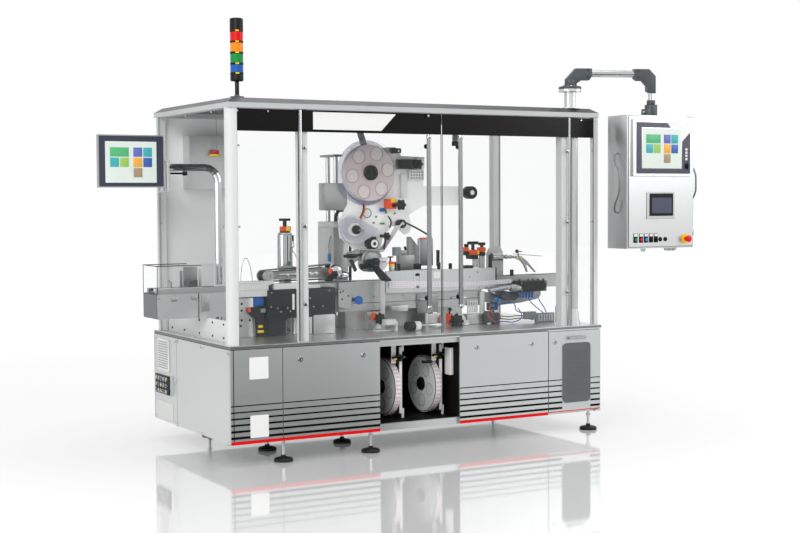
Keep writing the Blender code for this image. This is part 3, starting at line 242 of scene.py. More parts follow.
# %% Finishes of this machine
SHEET = brushed("brushed_sheet", (0.6, 0.62, 0.62), 0.36)
# A paler copy of the brushed sheet for the left end and connector panels: painted light on the lit
# side.
END_SHEET_LIT = brushed("brushed_sheet_lit_end", (0.74, 0.755, 0.755), 0.34)
SHEET_UP = brushed("brushed_sheet_upright", (0.64, 0.655, 0.655), 0.32, (1, 1, 0.02))
SHEET_DARK = brushed("brushed_sheet_dark", (0.215, 0.23, 0.23), 0.4)
FRAME_PAINT = painted("frame_paint", (0.66, 0.675, 0.67), 0.4)
# The roof crown's near-black paint is painted shade: a shaded copy of the roof paint.
CROWN_SHADE_PAINT = painted("roof_crown_painted_shade", (0.06, 0.065, 0.068), 0.38, gloss=0.3)
ROOF_PAINT = painted("roof_paint", (0.48, 0.5, 0.5), 0.42)
SEAL_GREY = plastic("seal_grey", (0.34, 0.36, 0.36), 0.5)
VENT_GREY = plastic("vent_grey", (0.115, 0.125, 0.128), 0.45)
CHROME = brushed("polished_tube", (0.54, 0.55, 0.56), 0.16, (1, 1, 0.03), 0.4, 1.0)
TUBE_STEEL = brushed("pull_tube", (0.33, 0.345, 0.35), 0.22, (1, 1, 0.03), 0.4, 1.0)
STEEL = brushed("turned_steel", (0.5, 0.51, 0.52), 0.24, (1, 0.1, 1), 0.2, 1.0)
ALUMINIUM = brushed("machined_aluminium", (0.46, 0.475, 0.47), 0.38, (0.1, 1, 1), 0.2)
GREY_BLOCK = brushed("tool_steel_block", (0.27, 0.29, 0.285), 0.42, (1, 1, 0.1), 0.1)
CASTING = painted("dark_casting", (0.06, 0.068, 0.075), 0.45, 0.003)
BLACK_METAL = painted("black_oxide", (0.012, 0.012, 0.013), 0.42, 0.003, gloss=0.25)
WHITE_METAL = painted("white_plate", (0.66, 0.675, 0.66), 0.38, 0.004)
HEAD_PAINT = painted("head_plate_paint", (0.92, 0.93, 0.92), 0.38, 0.004, 0.0, 0.97)
BLACK = plastic("black_plastic", (0.006, 0.006, 0.0065), 0.38, gloss=0.18)
RUBBER = plastic("black_rubber", (0.012, 0.012, 0.012), 0.65, 0.0015, 0.2)
ORANGE = plastic("orange_plastic", (0.85, 0.075, 0.008), 0.35)
AMBER = plastic("amber_lens", (0.9, 0.27, 0.004), 0.25)
YELLOW = plastic("yellow_plastic", (0.9, 0.62, 0.015), 0.35)
BLUE = plastic("blue_plastic", (0.01, 0.105, 0.42), 0.38)
SKY = plastic("sky_blue_plastic", (0.02, 0.3, 0.78), 0.38)
GREEN = plastic("green_plastic", (0.004, 0.26, 0.055), 0.38)
RED = plastic("red_plastic", (0.72, 0.004, 0.008), 0.32)
WHITE = plastic("white_plastic", (0.78, 0.78, 0.77), 0.4)
GREY_PLASTIC = plastic("grey_plastic", (0.22, 0.24, 0.25), 0.45)
HOSE = plastic("hose_orange", (0.6, 0.12, 0.015), 0.42)
BLACK_FILM = painted("black_film", (0.0045, 0.0045, 0.0042), 0.28, 0.002, gloss=0.12)
RED_FILM = painted("red_film", (0.74, 0.003, 0.006), 0.32, 0.002, gloss=0.12)
WHITE_FILM = painted("white_film", (0.82, 0.82, 0.81), 0.35, 0.002, 0.0, 0.96)
# Near-black sheets in the open reel bay: painted shade for the recess.
BAY_SHADE_BLACK = painted("bay_shade_lining", (0.005, 0.0048, 0.004), 0.6, 0.004, gloss=0.1)
DISC_STEEL = painted("reel_flange", (0.88, 0.9, 0.9), 0.4, 0.003)
PRINT_RED = painted("web_marks", (0.62, 0.2, 0.24), 0.45, 0.002)
DECK = brushed("deck_sheet", (0.76, 0.77, 0.77), 0.3, (0.02, 1, 1), 0.9, 0.9)
# The steel rear sheet is painted near white and not metallic: a painted reflection of the white
# studio.
REAR_PAINTED_REFLECTION = brushed("rear_sheet_painted_reflection", (0.97, 0.972, 0.972), 0.45, (1, 1, 0.02), 0.9, 0.0)
PANE = clear("guard_pane", (0.55, 0.62, 0.62), 0.022)
TUNNEL = clear("tunnel_sheet", (0.7, 0.75, 0.75), 0.06)
DISC = clear("reel_disc", (0.55, 0.57, 0.78), 0.34, 0.06)
ROLL = painted("label_roll", (0.76, 0.62, 0.63), 0.4, 0.002)
WEB = painted("label_web", (0.8, 0.77, 0.8), 0.42, 0.003)
REWOUND = clear("rewound_web", (0.72, 0.71, 0.78), 0.9, 0.3)
BACKING = clear("backing_sheet", (0.62, 0.61, 0.7), 0.62, 0.3)
ROLL_PALE = painted("label_roll_pale", (0.86, 0.76, 0.76), 0.4, 0.002)
REEL_MARKS = painted("reel_marks", (0.52, 0.4, 0.52), 0.45, 0.002)
BELT = plastic("conveyor_belt", (0.1, 0.105, 0.11), 0.5)
print(len(bpy.data.materials), "finishes")


# %% [markdown]
# ## Dressing the CAD nodes
# A CAD node whose shape is right stays, and only gets its finish. The table pairs node names with
# looks; a star in a name stands for any letters there.

# %% Node finishes
NODE_LOOKS = {"base_frame": SHEET, "deck_plate": DECK, "front_panel_*": SHEET,
    "service_door_leaf": SHEET, "end_panel_left": END_SHEET_LIT, "connector_panel": END_SHEET_LIT,
    "end_panel_right": SHEET, "rear_panel": SHEET, "post_*": FRAME_PAINT, "roof": ROOF_PAINT,
    "front_pane_*": PANE, "guard_door_*_pane": PANE, "end_pane_*": PANE, "rear_pane": PANE,
    "rear_sheet": REAR_PAINTED_REFLECTION, "guard_door_*_stile": STEEL, "guard_door_*_handle": TUBE_STEEL,
    "junction_box": SHEET_UP, "signal_tower": BLACK, "conveyor_belt": BELT,
    "conveyor_frame": ALUMINIUM, "infeed_trough": SHEET, "infeed_tunnel": TUNNEL,
    "screw_housing": BLACK_METAL, "hold_down_belt": STEEL, "height_adjuster": CHROME,
    "head_column": ALUMINIUM, "head_plate": WHITE_METAL, "label_reel": ROLL, "rewind_reel": REWOUND,
    "peel_bar": BLACK_METAL, "label_plate": SHEET, "outfeed_valve_box": BLACK_METAL,
    "unwind_plate_*": GREY_BLOCK, "unwind_reel_*": GREY_BLOCK, "monitor_tube": CHROME,
    "monitor_housing": ALUMINIUM, "mast": SHEET_UP, "swing_arm": CASTING,
    "control_cabinet": SHEET_UP,}

for name, piece in nodes.items():
    look = next(look for pattern, look in NODE_LOOKS.items() if fnmatch(name, pattern))
    piece.data.materials.clear()
    piece.data.materials.append(look.material)
print(len(nodes), "nodes dressed")


# %% [markdown]
# ## Blanks
# A machine is made from a few kinds of stock: bar, round, turned pieces, plate, bent strip and
# tube. Each kind is one short function that returns a bmesh on the drawing's coordinates, made by
# Blender's own operators, with its edges broken as a fitter would leave them.


# %% Bar, round and turned stock
WELD = 1e-6               # corners closer than this are one corner
AXES = {"X": lambda a, b, c: (c, a, b), "Y": lambda a, b, c: (a, c, b), "Z": lambda a, b,
    c: (a, b, c)}


def soften(shape, width, segments=2, edges=None):
    if width:
        bmesh.ops.bevel(shape, geom=edges or list(shape.edges), offset=width, affect="EDGES",
            segments=segments, profile=0.5, material=-1, clamp_overlap=True)
    return shape


def bar(low, high, bevel=0.0, segments=2):
    shape = bmesh.new()
    low, high = Vector(low), Vector(high)
    size = Matrix.Diagonal((*(high - low), 1.0))
    bmesh.ops.create_cube(shape, size=1.0, matrix=Matrix.Translation((low + high) / 2) @ size)
    return soften(shape, bevel, segments)


def along(start, end):
    start, end = Vector(start), Vector(end)
    return Matrix.Translation(start) @ (end - start).to_track_quat("Z", "Y").to_matrix().to_4x4()


def round_bar(start, end, radius, bevel=0.0, sides=32, tip=None):
    shape = bmesh.new()
    length = (Vector(end) - Vector(start)).length
    bmesh.ops.create_cone(shape, cap_ends=True, segments=sides, radius1=radius,
        radius2=radius if tip is None else tip, depth=length,
        matrix=Matrix.Translation((0, 0, length / 2)))
    rims = [edge for edge in shape.edges if abs(edge.verts[0].co.z - edge.verts[1].co.z) < WELD]
    soften(shape, bevel, 2, rims)
    bmesh.ops.transform(shape, matrix=along(start, end), verts=shape.verts)
    return shape


def rod(axis, a, b, low, high, radius, bevel=0.0, sides=32):
    """A round bar along an axis: X takes y and z, Y takes x and z, Z takes x and y."""
    return round_bar(AXES[axis](a, b, low), AXES[axis](a, b, high), radius, bevel, sides)


def flat(inner, outer, low, high):
    """The profile of a ring from `low` to `high`; with no inner radius it is a disc."""
    return [(inner, low), (outer, low), (outer, high), (inner, high)]


def turned(profile, foot, head, sides=40):
    """Spin a profile of (radius, height) points; it may touch the axis or be a closed loop."""
    shape = bmesh.new()
    chain = [shape.verts.new((radius, 0, height)) for radius, height in profile]
    pairs = list(zip(chain, chain[1:]))
    if all(radius > 0 for radius, height in profile):
        pairs.append((chain[-1], chain[0]))
    edges = [shape.edges.new(pair) for pair in pairs]
    bmesh.ops.spin(shape, geom=chain + edges, cent=(0, 0, 0), axis=(0, 0, 1), angle=math.tau,
        steps=sides, use_merge=True)
    bmesh.ops.remove_doubles(shape, verts=shape.verts, dist=WELD)
    bmesh.ops.recalc_face_normals(shape, faces=shape.faces)
    bmesh.ops.transform(shape, matrix=along(foot, head), verts=shape.verts)
    return shape


# %% Plate, strip, hoop and tube
def pull(shape, grown, lay, low, high):
    """Move what an extrusion has grown from `low` to `high`, and say which way that was."""
    lift = Vector(lay(0, 0, high)) - Vector(lay(0, 0, low))
    bmesh.ops.translate(shape, vec=lift,
        verts=[item for item in grown["geom"] if isinstance(item, bmesh.types.BMVert)])
    return lift


def plate(outline, axis, low, high, bevel=0.0, segments=1):
    """Extrude an outline: X takes (y, z) points, Y takes (x, z), Z takes (x, y)."""
    lay = AXES[axis]
    shape = bmesh.new()
    face = shape.faces.new([shape.verts.new(lay(a, b, low)) for a, b in outline])
    lift = pull(shape, bmesh.ops.extrude_face_region(shape, geom=[face]), lay, low, high)
    bmesh.ops.recalc_face_normals(shape, faces=shape.faces)
    rims = [edge for edge in shape.edges
        if abs((edge.verts[0].co - edge.verts[1].co).dot(lift)) < 1e-12]
    return soften(shape, bevel, segments, rims)


def arc(centre, radius, start, end, steps=8):
    angles = [math.radians(start + (end - start) * step / steps) for step in range(steps + 1)]
    return [(centre[0] + radius * math.cos(a), centre[1] + radius * math.sin(a)) for a in angles]


def rounded(left, low, right, high, radius, steps=5):
    corners = ((right - radius, high - radius, 0), (left + radius, high - radius, 90),
        (left + radius, low + radius, 180), (right - radius, low + radius, 270))
    return [p for x, z, turn in corners for p in arc((x, z), radius, turn, turn + 90, steps)]


def pad(left, low, right, high, radius, *rest):
    """A plate with rounded corners; the rest of the numbers are those of a plate."""
    return plate(rounded(left, low, right, high, radius), *rest)


def strip(points, axis, low, high, thick):
    """A bent strip: a chain of points drawn out along the axis and given its thickness."""
    lay = AXES[axis]
    shape = bmesh.new()
    chain = [shape.verts.new(lay(a, b, low)) for a, b in points]
    edges = [shape.edges.new(pair) for pair in zip(chain, chain[1:])]
    pull(shape, bmesh.ops.extrude_edge_only(shape, edges=edges), lay, low, high)
    bmesh.ops.solidify(shape, geom=shape.faces, thickness=thick)
    bmesh.ops.recalc_face_normals(shape, faces=shape.faces)
    return shape


def wrap(first, second, steps=14):
    """Outline of a belt round two pulleys, each (a, b, radius), the first one on the left."""
    run = Vector((second[0] - first[0], second[1] - first[1]))
    tilt = math.degrees(math.atan2(run.y, run.x))
    lean = math.degrees(math.acos((first[2] - second[2]) / run.length))
    right = arc(second[:2], second[2], tilt - lean, tilt + lean, steps)
    return right + arc(first[:2], first[2], tilt + lean, tilt + 360 - lean, steps)


def hoop(outer, inner, axis, low, high):
    lay = AXES[axis]
    shape = bmesh.new()
    edges = []
    for outline in (outer, inner):
        loop = [shape.verts.new(lay(a, b, low)) for a, b in outline]
        edges += [shape.edges.new(pair) for pair in zip(loop, loop[1:] + loop[:1])]
    faces = bmesh.ops.bridge_loops(shape, edges=edges)["faces"]
    pull(shape, bmesh.ops.extrude_face_region(shape, geom=faces), lay, low, high)
    bmesh.ops.recalc_face_normals(shape, faces=shape.faces)
    return shape


def pipe(points, radius, sides=8):
    """A round tube on a smooth curve through the points."""
    curve = bpy.data.curves.new("pipe", "CURVE")
    curve.dimensions = "3D"
    curve.bevel_depth = radius
    curve.bevel_resolution = sides
    curve.resolution_u = 8
    curve.use_fill_caps = True
    stops = curve.splines.new("BEZIER").bezier_points
    stops.add(len(points) - 1)
    for stop, point in zip(stops, points):
        stop.co = point
        stop.handle_left_type = stop.handle_right_type = "AUTO"
    item = bpy.data.objects.new("pipe", curve)
    bpy.context.collection.objects.link(item)
    mesh = bpy.data.meshes.new_from_object(
        item.evaluated_get(bpy.context.evaluated_depsgraph_get()))
    shape = bmesh.new()
    shape.from_mesh(mesh)
    bmesh.ops.remove_doubles(shape, verts=shape.verts, dist=WELD)
    bpy.data.objects.remove(item)
    bpy.data.curves.remove(curve)
    bpy.data.meshes.remove(mesh)
    return shape


def blank(shape):
    """A tuple holds a bar's numbers; anything else is a blank already."""
    return bar(shape[:3], shape[3:6], *shape[6:]) if isinstance(shape, tuple) else shape


def moved(shape, matrix):
    shape = blank(shape)
    bmesh.ops.transform(shape, matrix=matrix, verts=shape.verts)
    if matrix.determinant() < 0:
        bmesh.ops.reverse_faces(shape, faces=shape.faces)
    return shape


# %% [markdown]
# Screws hold nearly every plate. A socket head cap screw is a short round with a broken edge, whose
# face is inset and pushed in again for the hexagon socket.


# %% Screws
def cap_screw(place, way, radius=0.006, height=0.005):
    shape = bmesh.new()
    bmesh.ops.create_cone(shape, cap_ends=True, segments=18, radius1=radius, radius2=radius,
        depth=height, matrix=Matrix.Translation((0, 0, height / 2)))
    top = [face for face in shape.faces if face.normal.z > 0.9]
    soften(shape, radius * 0.14, 1, list(top[0].edges))
    top = [face for face in shape.faces if face.normal.z > 0.9 and len(face.verts) > 4]
    bmesh.ops.inset_region(shape, faces=top, thickness=radius * 0.42)
    top = [face for face in shape.faces if face.normal.z > 0.9 and len(face.verts) > 4]
    pull(shape, bmesh.ops.extrude_face_region(shape, geom=top), AXES["Z"], 0, -height * 0.5)
    bmesh.ops.delete(shape, geom=top, context="FACES")
    start = Vector(place)
    return moved(shape, along(start, start + Vector(way)))


FRONT = (0, -1, 0)
LEFT = (-1, 0, 0)
UP = (0, 0, 1)


def screws(places, radius=0.006, height=0.005, way=FRONT):
    return [cap_screw(place, way, radius, height) for place in places]


# %% [markdown]
# A finished piece is one object: its blanks are gathered into one mesh, shaded smooth up to a sharp
# angle, painted with its look, moved into the frame and hung on the body that carries it. Bars are
# the commonest blanks, so a blank may also be given as a bar's numbers: low corner, high corner,
# bevel.

# %% Gather blanks into a piece
SLOTS = {"stainless": (SHEET, SHEET_UP, SHEET_DARK, END_SHEET_LIT, DECK, REAR_PAINTED_REFLECTION),
    "painted_frame": (FRAME_PAINT, ROOF_PAINT, CROWN_SHADE_PAINT), "glazing": (PANE, TUNNEL, DISC),
    "chrome": (CHROME, STEEL, TUBE_STEEL),
    "grey_casting": (CASTING, GREY_PLASTIC, VENT_GREY, SEAL_GREY),
    "white_plate": (WHITE_METAL, WHITE, WHITE_FILM, HEAD_PAINT),
    "anodised": (ALUMINIUM, GREY_BLOCK, DISC_STEEL),
    "label_roll": (ROLL, WEB, REWOUND, ROLL_PALE, REEL_MARKS, BACKING, PRINT_RED),
    "belt": (BELT, RUBBER), "black": (BLACK, BLACK_METAL, BLACK_FILM, BAY_SHADE_BLACK),
    "lamp_lens": (ORANGE, AMBER, YELLOW, BLUE, SKY, GREEN, RED, HOSE, RED_FILM),}
SHARP = math.radians(32)
pieces = {}


def gather(name, look, shapes, body="machine", stands_for=()):
    whole = bmesh.new()
    for shape in shapes:
        shape = blank(shape)
        part = bpy.data.meshes.new("part")
        shape.to_mesh(part)
        shape.free()
        whole.from_mesh(part)
        bpy.data.meshes.remove(part)
    bmesh.ops.translate(whole, vec=HERE, verts=whole.verts)
    mesh = bpy.data.meshes.new(name)
    whole.to_mesh(mesh)
    whole.free()
    mesh.materials.append(look.material)
    mesh.shade_smooth()
    mesh.set_sharp_from_angle(angle=SHARP)
    piece = bpy.data.objects.new(name, mesh)
    bpy.context.collection.objects.link(piece)
    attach(piece, body)
    next(key for key, looks in SLOTS.items() if look in looks)
    if stands_for:
        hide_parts(*stands_for)
    pieces[name] = piece


# %% [markdown]
# ## Cabinet front
# Six black lines run round the front below the middle, each a little thicker than the one above,
# and a red edge closes the bottom. They are films on the panels, so each panel has its own lengths
# and the service door takes its own along. A film is a real sheet of 0.4 mm, clear of the panel by
# 0.1 mm.

# %% Lines and red edge
SEAMS = {"front_panel_1": (0.0, 0.338), "front_panel_2": (0.342, 1.01), "front_panel_3": (1.6, 2.3)}
LINE_TOP = 0.365
LINE_STEP = 0.0382
LINE_THIN = 0.0065
LINE_GROWS = 0.0017
LINES = 6
RED_EDGE = (0.1332, 0.153)
FILM = 0.0004
FILM_OFF = 0.0001
VENT = (2.418, 0.206, 2.65, 0.612)
DOOR_EDGES = (2.3062, 2.734)
SIDE_DEPTH = 1.3
TOP_SEAM = (0.7, 0.7045)
LIP = (0.7055, 0.7205)


def film(left, right, low, high, front=0.0):
    return bar((left, front - FILM - FILM_OFF, low), (right, front - FILM_OFF, high))


def line_heights():
    for number in range(LINES):
        half = (LINE_THIN + LINE_GROWS * number) / 2
        yield LINE_TOP - LINE_STEP * number - half, LINE_TOP - LINE_STEP * number + half


for panel, (left, right) in SEAMS.items():
    gather("lines_on_" + panel, BLACK_FILM,
        [film(left, right, low, high) for low, high in line_heights()])
    gather("red_edge_" + panel, RED_FILM, [film(left, right, *RED_EDGE)])
door_lines = [film(DOOR_EDGES[0], VENT[0] - 0.002, low, high) for low, high in line_heights()]
door_lines += [film(VENT[2] + 0.002, DOOR_EDGES[1], low, high) for low, high in line_heights()]
gather("lines_on_service_door", BLACK_FILM, door_lines, "service_door")
gather("red_edge_service_door", RED_FILM, [film(*DOOR_EDGES, 0.147, RED_EDGE[1])], "service_door")


def end_film(start, low, high):
    return bar((-FILM - FILM_OFF, start, low), (-FILM_OFF, SIDE_DEPTH, high))


gather("cabinet_seams", BLACK_FILM,
    [film(0.0165, 0.0215, 0.1532, 0.699), film(0.0, 1.01, *TOP_SEAM), film(1.6, 2.3, *TOP_SEAM)]
    + [end_film(0.01, *TOP_SEAM)])
gather("deck_lip", SHEET_DARK, [film(0.0, CABINET_LENGTH, *LIP), end_film(0.0, *LIP)])
print(len(pieces), "pieces so far")

# %% [markdown]
# Quarter-turn locks hold the panels. Each has a bright ring proud of the sheet and a dark slotted
# barrel in it. The vent in the service door is a dark cover with a rolled rim and louvres, under a
# pull of bent strip.

# %% Locks, vent and labels
LOCK_Z = 0.622
LOCKS = {"machine": (0.459, 0.893, 1.733, 2.168), "service_door": (2.356,)}
for body, places in LOCKS.items():
    rings, slots = [], []
    for x in places:
        rim = [(0.0095, 0.0), (0.0165, 0.0), (0.0165, 0.003), (0.015, 0.0045), (0.0095, 0.0045)]
        rings.append(turned(rim, (x, -0.0003, LOCK_Z), (x, -1, LOCK_Z), 32))
        slots.append(bar((x - 0.0022, -0.004, LOCK_Z - 0.0085),
            (x + 0.0022, -0.0021, LOCK_Z + 0.0085), 0.0006))
    gather("lock_rings_" + body, CHROME, rings, body)
    gather("lock_slots_" + body, BLACK_METAL, slots, body)

left, low, right, high = VENT
cover = pad(left, low, right, high, 0.03, "Y", -0.0075, -0.0033, 0.0015)
gather("vent_cover", VENT_GREY, [cover]
    + [plate(rounded(left + 0.03, z - 0.0035, right - 0.03, z + 0.0035, 0.0034, 3), "Y", -0.0095,
    -0.007, 0.0008) for z in (low + 0.06 + 0.026 * row for row in range(12))], "service_door")
gather("door_pull", STEEL, [strip([(-0.0125, 0.636), (-0.02, 0.64), (-0.02, 0.652),
    (-0.0125, 0.656)], "X", 2.462, 2.606, 0.002)], "service_door")

FOOT_PLACES = [(x, 0.05) for x in (0.363, 0.967, CABINET_LENGTH - 0.074)] + [(0.434, 0.448),
    (0.969, 0.448)]
FOOT_PLACES += [(x, 1.228) for x in (0.363, CABINET_LENGTH - 0.074)]
dish = [(0, 0.0004), (0.0575, 0.0004), (0.059, 0.006), (0.0585, 0.014), (0.052, 0.021),
    (0.03, 0.0265), (0.0145, 0.03), (0.0145, 0.04), (0, 0.04)]
gather("foot_dishes", BLACK_METAL,
    [turned(dish, (x, y, 0.0), (x, y, 1.0), 40) for x, y in FOOT_PLACES])

PANEL_LABELS = ((0.121, 0.52, 0.245, 0.652), (0.124, 0.168, 0.244, 0.303))
gather("panel_labels", WHITE_FILM,
    [pad(a, b, c, d, 0.006, "Y", -0.0016, -0.0007, 0.0003) for a, b, c, d in PANEL_LABELS])

# %% [markdown]
# ## Left end
# The end panel is held by six cap screws. The connector panel behind it has a pale louvre plate
# over a fan, a dark block with two rows of round sockets, and a bare plate below.

# %% Left end screws, louvre plate and sockets
gather("end_panel_screws", CHROME,
    screws([(-0.0002, y, z) for y in (0.882, 0.457, 0.035) for z in (0.681, 0.139)], 0.01, 0.006,
    LEFT))
gather("fan_plate", WHITE, [pad(1.014, 0.469, 1.221, 0.676, 0.01, "X", -0.0095, -0.0043, 0.0015)])
gather("fan_louvres", SEAL_GREY, [(-0.0125, 1.03, z - 0.003, -0.0097, 1.205, z + 0.003, 0.0012)
    for z in (0.488 + 0.0155 * row for row in range(12))])
gather("socket_block", BLACK, [pad(0.989, 0.316, 1.246, 0.441, 0.006, "X", -0.02, -0.0123, 0.0015)])
SOCKETS = [(1.026 + 0.045 * number, z) for z in (0.418, 0.378, 0.338) for number in range(5)]
gather("socket_sleeves", STEEL, [turned(flat(0.0105, 0.0155, 0, 0.009), (-0.0202, y, z), (-1, y, z),
    20) for y, z in SOCKETS])
for look, name, first in ((YELLOW, "yellow", 0), (WHITE, "white", 1), (BLUE, "blue", 2)):
    gather("socket_caps_" + name, look,
        [rod("X", y, z, -0.0204, -0.0265, 0.01, 0.0008, 20) for y, z in SOCKETS[first::3]])
gather("end_plate_bare", WHITE_METAL,
    [pad(0.961, 0.147, 1.272, 0.263, 0.005, "X", -0.003, -0.0003, 0.0008)])
gather("connector_panel_screws", CHROME,
    screws([(-0.0002, y, z) for y in (0.915, 1.283) for z in (0.675, 0.415, 0.155)], 0.007, 0.005,
    LEFT))

# %% [markdown]
# ## Header band and guard fittings
# A black film runs along the head of the guard, behind which the roof frame disappears. It is
# printed on the panes, so the doors carry their own lengths and thin seams show between. A bare
# white panel with one slanted end sits on it.

# %% Header band
BAND = (2.002, 2.1335)
PANE_FRONT = 0.019
FIXED_FRONT = 0.029
BAND_RUNS = {"left": (0.069, 0.468, FIXED_FRONT, "machine"),
    "door_left": (0.4905, 1.4756, PANE_FRONT, "guard_door_left"),
    "door_right": (1.4818, 2.4811, PANE_FRONT, "guard_door_right"),
    "right": (2.504, 2.697, FIXED_FRONT, "machine")}
for name, (left, right, front, body) in BAND_RUNS.items():
    gather("header_band_" + name, BLACK_FILM, [film(left, right, *BAND, front)], body)
PANEL_SHAPE = [(0.566, 2.018), (1.04, 2.018), (1.145, 2.124), (0.566, 2.124)]
gather("header_panel", WHITE_FILM,
    [plate(PANEL_SHAPE, "Y", PANE_FRONT - 0.0012, PANE_FRONT - 0.0006)], "guard_door_left")
gather("band_screws", CHROME, screws([(0.271, 0.0285, 2.122), (2.594, 0.0285, 2.119)], 0.006,
    0.004))

# %% [markdown]
# The doors turn on round stiles. Hinge clamps grip stile and pane, a black seal closes the gap
# between the doors, and screws hold the panes to the posts.

# %% Door seals, clamps and pane screws
MEET = 1.479
SEAL_GAP = 0.00275
HANDLE_INSET = 0.118
DOOR_LOW, DOOR_HIGH = 0.7302, 2.1335
door_sides = {"left": (0.482, 1), "right": (2.49, -1)}
for side_name, (hinge, way) in door_sides.items():
    body = "guard_door_" + side_name
    edge = MEET - way * SEAL_GAP
    inner = edge - way * 0.0045
    gather(f"door_seal_{side_name}", RUBBER,
        [(min(edge, inner), 0.0162, DOOR_LOW, max(edge, inner), 0.0188, DOOR_HIGH, 0.0008)], body)
    clamps, heads = [], []
    for z in (0.955, 1.43, 1.905):
        ends = sorted((hinge + way * 0.01, hinge + way * 0.034))
        clamps.append(bar((ends[0], 0.012, z - 0.011), (ends[1], 0.0186, z + 0.011), 0.002))
        heads.append((hinge + way * 0.022, 0.0118, z))
    gather(f"door_clamps_{side_name}", STEEL, clamps, body)
    gather(f"door_clamp_screws_{side_name}", BLACK_METAL, screws(heads, 0.006, 0.003), body)
    for piece_end, top in (("low", 0.9), ("high", 1.985)):
        x = MEET - way * HANDLE_INSET
        cap = rod("Z", x, -0.022, top - 0.012, top + 0.012, 0.0163, 0.002, 28)
        gather(f"handle_cap_{side_name}_{piece_end}", CHROME, [cap], body)
    gather(f"handle_rosettes_{side_name}", BLACK,
        [rod("Y", MEET - way * HANDLE_INSET, z, 0.0158, -0.002, 0.016, 0.002, 28)
        for z in (0.96, 1.925)], body)

POST_SCREWS = [(0.078, 0.0285, z) for z in (1.915, 1.432)] + [(2.69, 0.0285, z)
    for z in (1.915, 1.432, 0.95)]
gather("pane_screws_front", STEEL, screws(POST_SCREWS, 0.007, 0.004))
SIDE_SCREWS = [(0.0175, y, z) for y, z in ((1.151, 2.125), (0.724, 2.125), (0.292, 2.125),
    (0.132, 1.43), (1.18, 1.43))]
gather("pane_screws_side", STEEL, screws(SIDE_SCREWS, 0.008, 0.005, LEFT))

# %% [markdown]
# Dark seals run up the inner posts and round the side glazing, and they draw the thin dark lines
# that make clear sheets readable.

# %% Glazing seals
seals = [bar((x, 0.0292, DOOR_LOW), (x + 0.004, 0.035, 2.138)) for x in (0.4695, 2.4985)]
seals += [bar((x, 0.0282, DOOR_LOW), (x + 0.004, 0.0288, 2.138)) for x in (0.0662, 2.6945)]
gather("front_seals", RUBBER, seals)
side_seals = []
for x in (0.0165, 2.7215):
    side_seals += [bar((x, 0.0785, ON_DECK), (x + 0.009, 0.0825, 2.1385)),
        bar((x, 1.2215, ON_DECK), (x + 0.009, 1.2255, 2.1385))]
gather("side_seals", SEAL_GREY, side_seals)

# %% [markdown]
# ## Signal tower
# The tower is a stack of lens modules on a thin pole. The CAD has it as one turned solid, so the
# real stack replaces it: each lens is ribbed inside and shows as fine rings, dark rings part the
# modules, and each ring has a small yellow tab that turns to unlock it.

# %% Signal tower
TOWER = (0.112, 0.12)
TOWER_FOOT = 2.2003
MODULES = (("blue", BLUE, 2.344), ("green", GREEN, 2.409), ("amber", AMBER, 2.474),
    ("red", RED, 2.539))
LENS_HEIGHT = 0.054
RING_HEIGHT = 0.0105
LENS_RADIUS = 0.0385


def on_tower(profile, low, sides=40):
    return turned(profile, (*TOWER, low), (*TOWER, low + 1), sides)


foot = [(0, 0), (0.042, 0), (0.042, 0.008), (0.04, 0.01), (0.018, 0.012), (0.0135, 0.02), (0, 0.02)]
base = [(0, 0), (0.034, 0), (0.0395, 0.006), (0.0395, 0.036), (0.0385, 0.04), (0, 0.04)]
tower_cap = [(0, 0), (0.04, 0), (0.04, 0.066), (0.038, 0.072), (0.03, 0.0745), (0, 0.075)]
gather("tower_foot", CASTING, [on_tower(foot, TOWER_FOOT)], stands_for=("signal_tower",))
gather("tower_pole", BLACK_METAL, [
    round_bar((*TOWER, TOWER_FOOT + 0.015), (*TOWER, 2.302), 0.013, 0.001)])
gather("tower_black_modules", BLACK, [on_tower(base, 2.301), on_tower(tower_cap, 2.6005)])
rings, tabs = [], []
for name, look, low in MODULES:
    ribs = [(0, 0)]
    for rib in range(6):
        foot_z = LENS_HEIGHT * rib / 6
        ribs += [(LENS_RADIUS, foot_z + 0.0006), (LENS_RADIUS, foot_z + 0.0078),
            (LENS_RADIUS - 0.0012, foot_z + 0.0086)]
    ribs.append((0, LENS_HEIGHT))
    gather("tower_lens_" + name, look, [on_tower(ribs, low)])
for low in (2.341, 2.3985, 2.4635, 2.5285, 2.5935):
    rings.append(on_tower(flat(0.028, 0.0402, 0, RING_HEIGHT), low))
    tabs.append(bar((TOWER[0] - 0.022, TOWER[1] - 0.042, low + 0.001),
        (TOWER[0] - 0.002, TOWER[1] - 0.03, low + 0.0095), 0.001))
gather("tower_rings", BLACK, rings)
gather("tower_tabs", YELLOW, tabs)

# %% [markdown]
# ## Screens
# Both terminals show a menu of plain coloured tiles on a pale ground. The tiles stand for any
# operating screen: their colours and sizes are like a real menu, and their layout is our own. They
# lie a tenth of a millimetre proud of the glass, so that no faces fight.


